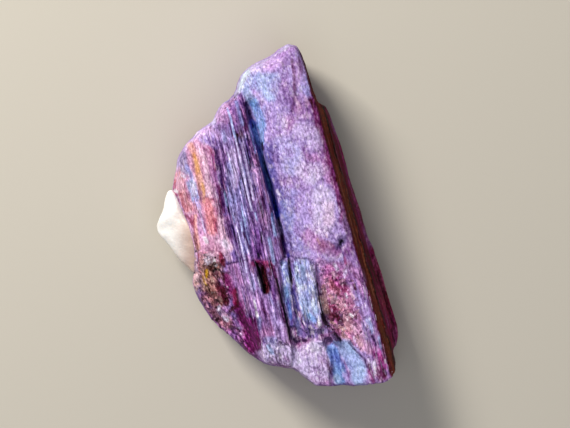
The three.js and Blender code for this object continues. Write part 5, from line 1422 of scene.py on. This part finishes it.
def makeSplinters(stone, material):
    random = np.random.default_rng(8)
    stoneTints = tintsOf(stone)
    form = splinterForm
    corners, faces, tints = [], [], []
    for part, (count, short, long, thin, thick, names) in form["places"].items():
        for _ in range(count):
            middle = scatterPlan(random, outlines[part])
            half = (short + (long - short) * random.random() ** 2) / 2
            width = (thin + (thick - thin) * random.random()) / 2
            rise = width * (form["leastRise"] + random.random())
            lean = grainLean + form["leanSpread"] * (random.random() - 0.5)
            name = names[int(random.random() * len(names))]
            way = np.array([math.sin(lean), -math.cos(lean)])
            run = [surfaceUnder(stone, middle + way * s) for s in np.linspace(-half, half, 2 + int(half * 2))]
            if any(found is None or found[1][2] < form["steepest"] for found in run):
                continue
            heights = np.array([found[0][2] for found in run])
            if np.abs(np.diff(heights, 2)).max(initial=0) > form["bend"]:
                continue
            start = len(corners)
            for k, (place, normal, _) in enumerate(run):
                middleShare = math.sin(math.pi * (k + 0.5) / len(run)) ** 0.5
                taper = form["leastTaper"] + (1 - form["leastTaper"]) * middleShare
                corners.extend(splinterCorners(place, normal, way, width * taper, rise * taper))
            for a in range(start, len(corners) - 4, 4):
                faces.extend([[a + i, a + (i + 1) % 4, a + 4 + (i + 1) % 4, a + 4 + i] for i in range(4)])
            last = len(corners) - 4
            faces.extend([[start + 3, start + 2, start + 1, start], [last, last + 1, last + 2, last + 3]])
            own = np.array(linear(colours[name])) * form["ownColour"]
            for _, _, nearest in run:
                tints.extend([form["stoneColour"] * stoneTints[nearest] + own] * 4)
    pieceFrom("tourmalineSplinters", corners, faces, tints, material)


# The quartz knob, in mm where no note says otherwise
quartzForm = {
    "voxel": 0.0002,  # metres
    "growth": 0.3,
    "lumpHeight": 0.4, "lumpSize": 3.4,
    "grainHeight": 0.06, "grainSize": 0.5,
    "softening": 3,  # rounds
    "stainAndShadePlaces": (-20, -15.2),  # X, where the pinkish stain and painted shade near the tourmaline begin and are full
    "stainAndShadeStrength": 0.85,
}

# Milky quartz with a broken, weathered skin: white and slightly see-through, with a soft waxy gloss
milkyQuartz = {
    "colour": "#F4F4F3",
    "stainAndShadeColour": "#C6A898",
    "cloudShare": 0.2,  # how much the clouds add to the stain and shade
    "cloudScale": 0.35, "gritScale": 2.5,  # waves in a mm
    "gritDepth": 0.0003,  # metres
    "gritStrength": 0.3,
    "ior": 1.544,
    "roughness": 0.42,
    "milkiness": 0.4,  # share of the light that goes in and comes out elsewhere
    "lightReach": 0.8,  # mm, how far it goes
    "reachOfColours": (1, 0.9, 0.8),  # red a little farther than blue
}


def makeMilkyQuartz():
    material = bpy.data.materials.new("weatheredMilkyQuartz")
    material.use_nodes = True
    tree = material.node_tree
    shader = tree.nodes["Principled BSDF"]
    place = addNode(tree, "ShaderNodeTexCoord").outputs["Object"]
    inMm = addNode(tree, "ShaderNodeVectorMath", {"operation": "SCALE"}, {
        0: place, "Scale": 1 / mm,
    }).outputs[0]
    clouds, grit = [
        addNode(tree, "ShaderNodeTexNoise", {}, {
            "Vector": inMm, "Scale": scale, "Detail": 3.0,
        }).outputs["Fac"]
        for scale in (milkyQuartz["cloudScale"], milkyQuartz["gritScale"])
    ]
    stainAndShade = addNode(tree, "ShaderNodeAttribute", {"attribute_name": "stainAndShade"}).outputs["Fac"]
    stainAndShadeShare = addNode(tree, "ShaderNodeMath", {"operation": "MULTIPLY_ADD", "use_clamp": True}, {
        0: clouds, 1: milkyQuartz["cloudShare"], 2: stainAndShade,
    }).outputs[0]
    colour = addNode(tree, "ShaderNodeMix", {"data_type": "RGBA"}, {
        0: stainAndShadeShare, 6: [*linear(milkyQuartz["colour"]), 1], 7: [*linear(milkyQuartz["stainAndShadeColour"]), 1],
    }).outputs[2]
    tree.links.new(colour, shader.inputs["Base Color"])
    bump = addNode(tree, "ShaderNodeBump", {}, {
        "Strength": milkyQuartz["gritStrength"], "Distance": milkyQuartz["gritDepth"], "Height": grit,
    }).outputs[0]
    tree.links.new(bump, shader.inputs["Normal"])
    shader.inputs["Roughness"].default_value = milkyQuartz["roughness"]
    shader.inputs["IOR"].default_value = milkyQuartz["ior"]
    shader.inputs["Subsurface Weight"].default_value = milkyQuartz["milkiness"]
    shader.inputs["Subsurface Radius"].default_value = milkyQuartz["reachOfColours"]
    shader.inputs["Subsurface Scale"].default_value = milkyQuartz["lightReach"] * mm
    return material


def makeKnob():
    piece = fineCopy("quartz_knob", "quartzKnob", quartzForm["voxel"], 1)
    where, up = places(piece.data), normals(piece.data)
    lift = quartzForm["growth"]
    lift = lift + quartzForm["lumpHeight"] * layeredNoise(where, [quartzForm["lumpSize"]] * 3, 5, 2)
    lift = lift + quartzForm["grainHeight"] * layeredNoise(where, [quartzForm["grainSize"]] * 3, 15, 2)
    movePlaces(piece.data, where + up * lift[:, None])
    ease = piece.modifiers.new("ease", "SMOOTH")
    ease.iterations = quartzForm["softening"]
    bakeModifiers(piece)
    # darker and pinker towards the tourmaline: partly a stain, partly painted shade
    stainAndShade = smoothStep(*quartzForm["stainAndShadePlaces"], places(piece.data)[:, 0]) * quartzForm["stainAndShadeStrength"]
    store(piece.data, "stainAndShade", "FLOAT", stainAndShade)
    piece.data.shade_smooth()
    piece.data.materials.append(makeMilkyQuartz())
    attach(piece, "root")
    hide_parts("quartz_knob")
    print("knob made")


# The floor, the lamps, the sky and the picture; lengths in metres
room = {
    "floorColour": "#BDB8AC", "floorRoughness": 0.9, "floorHalf": 1.5,
    # name: place, size, watts and colour
    "lamps": {
        "keyLamp": ((-0.26, 0.30, 0.32), 0.16, 3.2, "#FFFAF2"),
        "fillLamp": ((0.05, -0.2, 0.6), 0.5, 1.2, "#F4F6FF"),
    },
    "skyColour": "#E6E6EA", "skyStrength": 0.25,
    "pictureWidth": 570, "pixelsPerMm": 5.5,
    "filmWidth": 36,  # mm
}


def makeFloor():
    far = room["floorHalf"]
    mesh = bpy.data.meshes.new("floor")
    mesh.from_pydata([(-far, -far, 0), (far, -far, 0), (far, far, 0), (-far, far, 0)], [], [(0, 1, 2, 3)])
    floor = bpy.data.objects.new("floor", mesh)
    bpy.context.scene.collection.objects.link(floor)
    material = bpy.data.materials.new("matteFloorPaint")
    material.use_nodes = True
    shader = material.node_tree.nodes["Principled BSDF"]
    shader.inputs["Base Color"].default_value = [*linear(room["floorColour"]), 1]
    shader.inputs["Roughness"].default_value = room["floorRoughness"]
    mesh.materials.append(material)


def addLamp(name, place, size, power, colour):
    lamp = bpy.data.lights.new(name, "AREA")
    lamp.size = size
    lamp.energy = power
    lamp.color = linear(colour)
    lampObject = bpy.data.objects.new(name, lamp)
    lampObject.location = place
    lampObject.rotation_euler = Vector(place).to_track_quat("Z", "Y").to_euler()
    bpy.context.scene.collection.objects.link(lampObject)


def makeRoom():
    makeFloor()
    for name, settings in room["lamps"].items():
        addLamp(name, *settings)
    world = bpy.data.worlds.new("paleRoom")
    world.use_nodes = True
    world.node_tree.nodes["Background"].inputs["Color"].default_value = [*linear(room["skyColour"]), 1]
    world.node_tree.nodes["Background"].inputs["Strength"].default_value = room["skyStrength"]
    bpy.context.scene.world = world
    camera = bpy.data.cameras.new("camera")
    pictureWidth = room["pictureWidth"] / room["pixelsPerMm"] * mm
    camera.sensor_width = room["filmWidth"]
    camera.lens = camera.sensor_width * (eye["height"] - eye["scaleHeight"] * mm) / pictureWidth
    cameraObject = bpy.data.objects.new("camera", camera)
    cameraObject.location = (eye["place"][0] * mm, eye["place"][1] * mm, eye["height"])
    bpy.context.scene.collection.objects.link(cameraObject)
    bpy.context.scene.camera = cameraObject
    bpy.context.scene.view_settings.view_transform = "Standard"
    print("room made")


makeRoom()
elbaiteMaterial = makeElbaite()
stone = makeStone(elbaiteMaterial)
makeCrumbs(stone, elbaiteMaterial)
makeSplinters(stone, elbaiteMaterial)
makeKnob()
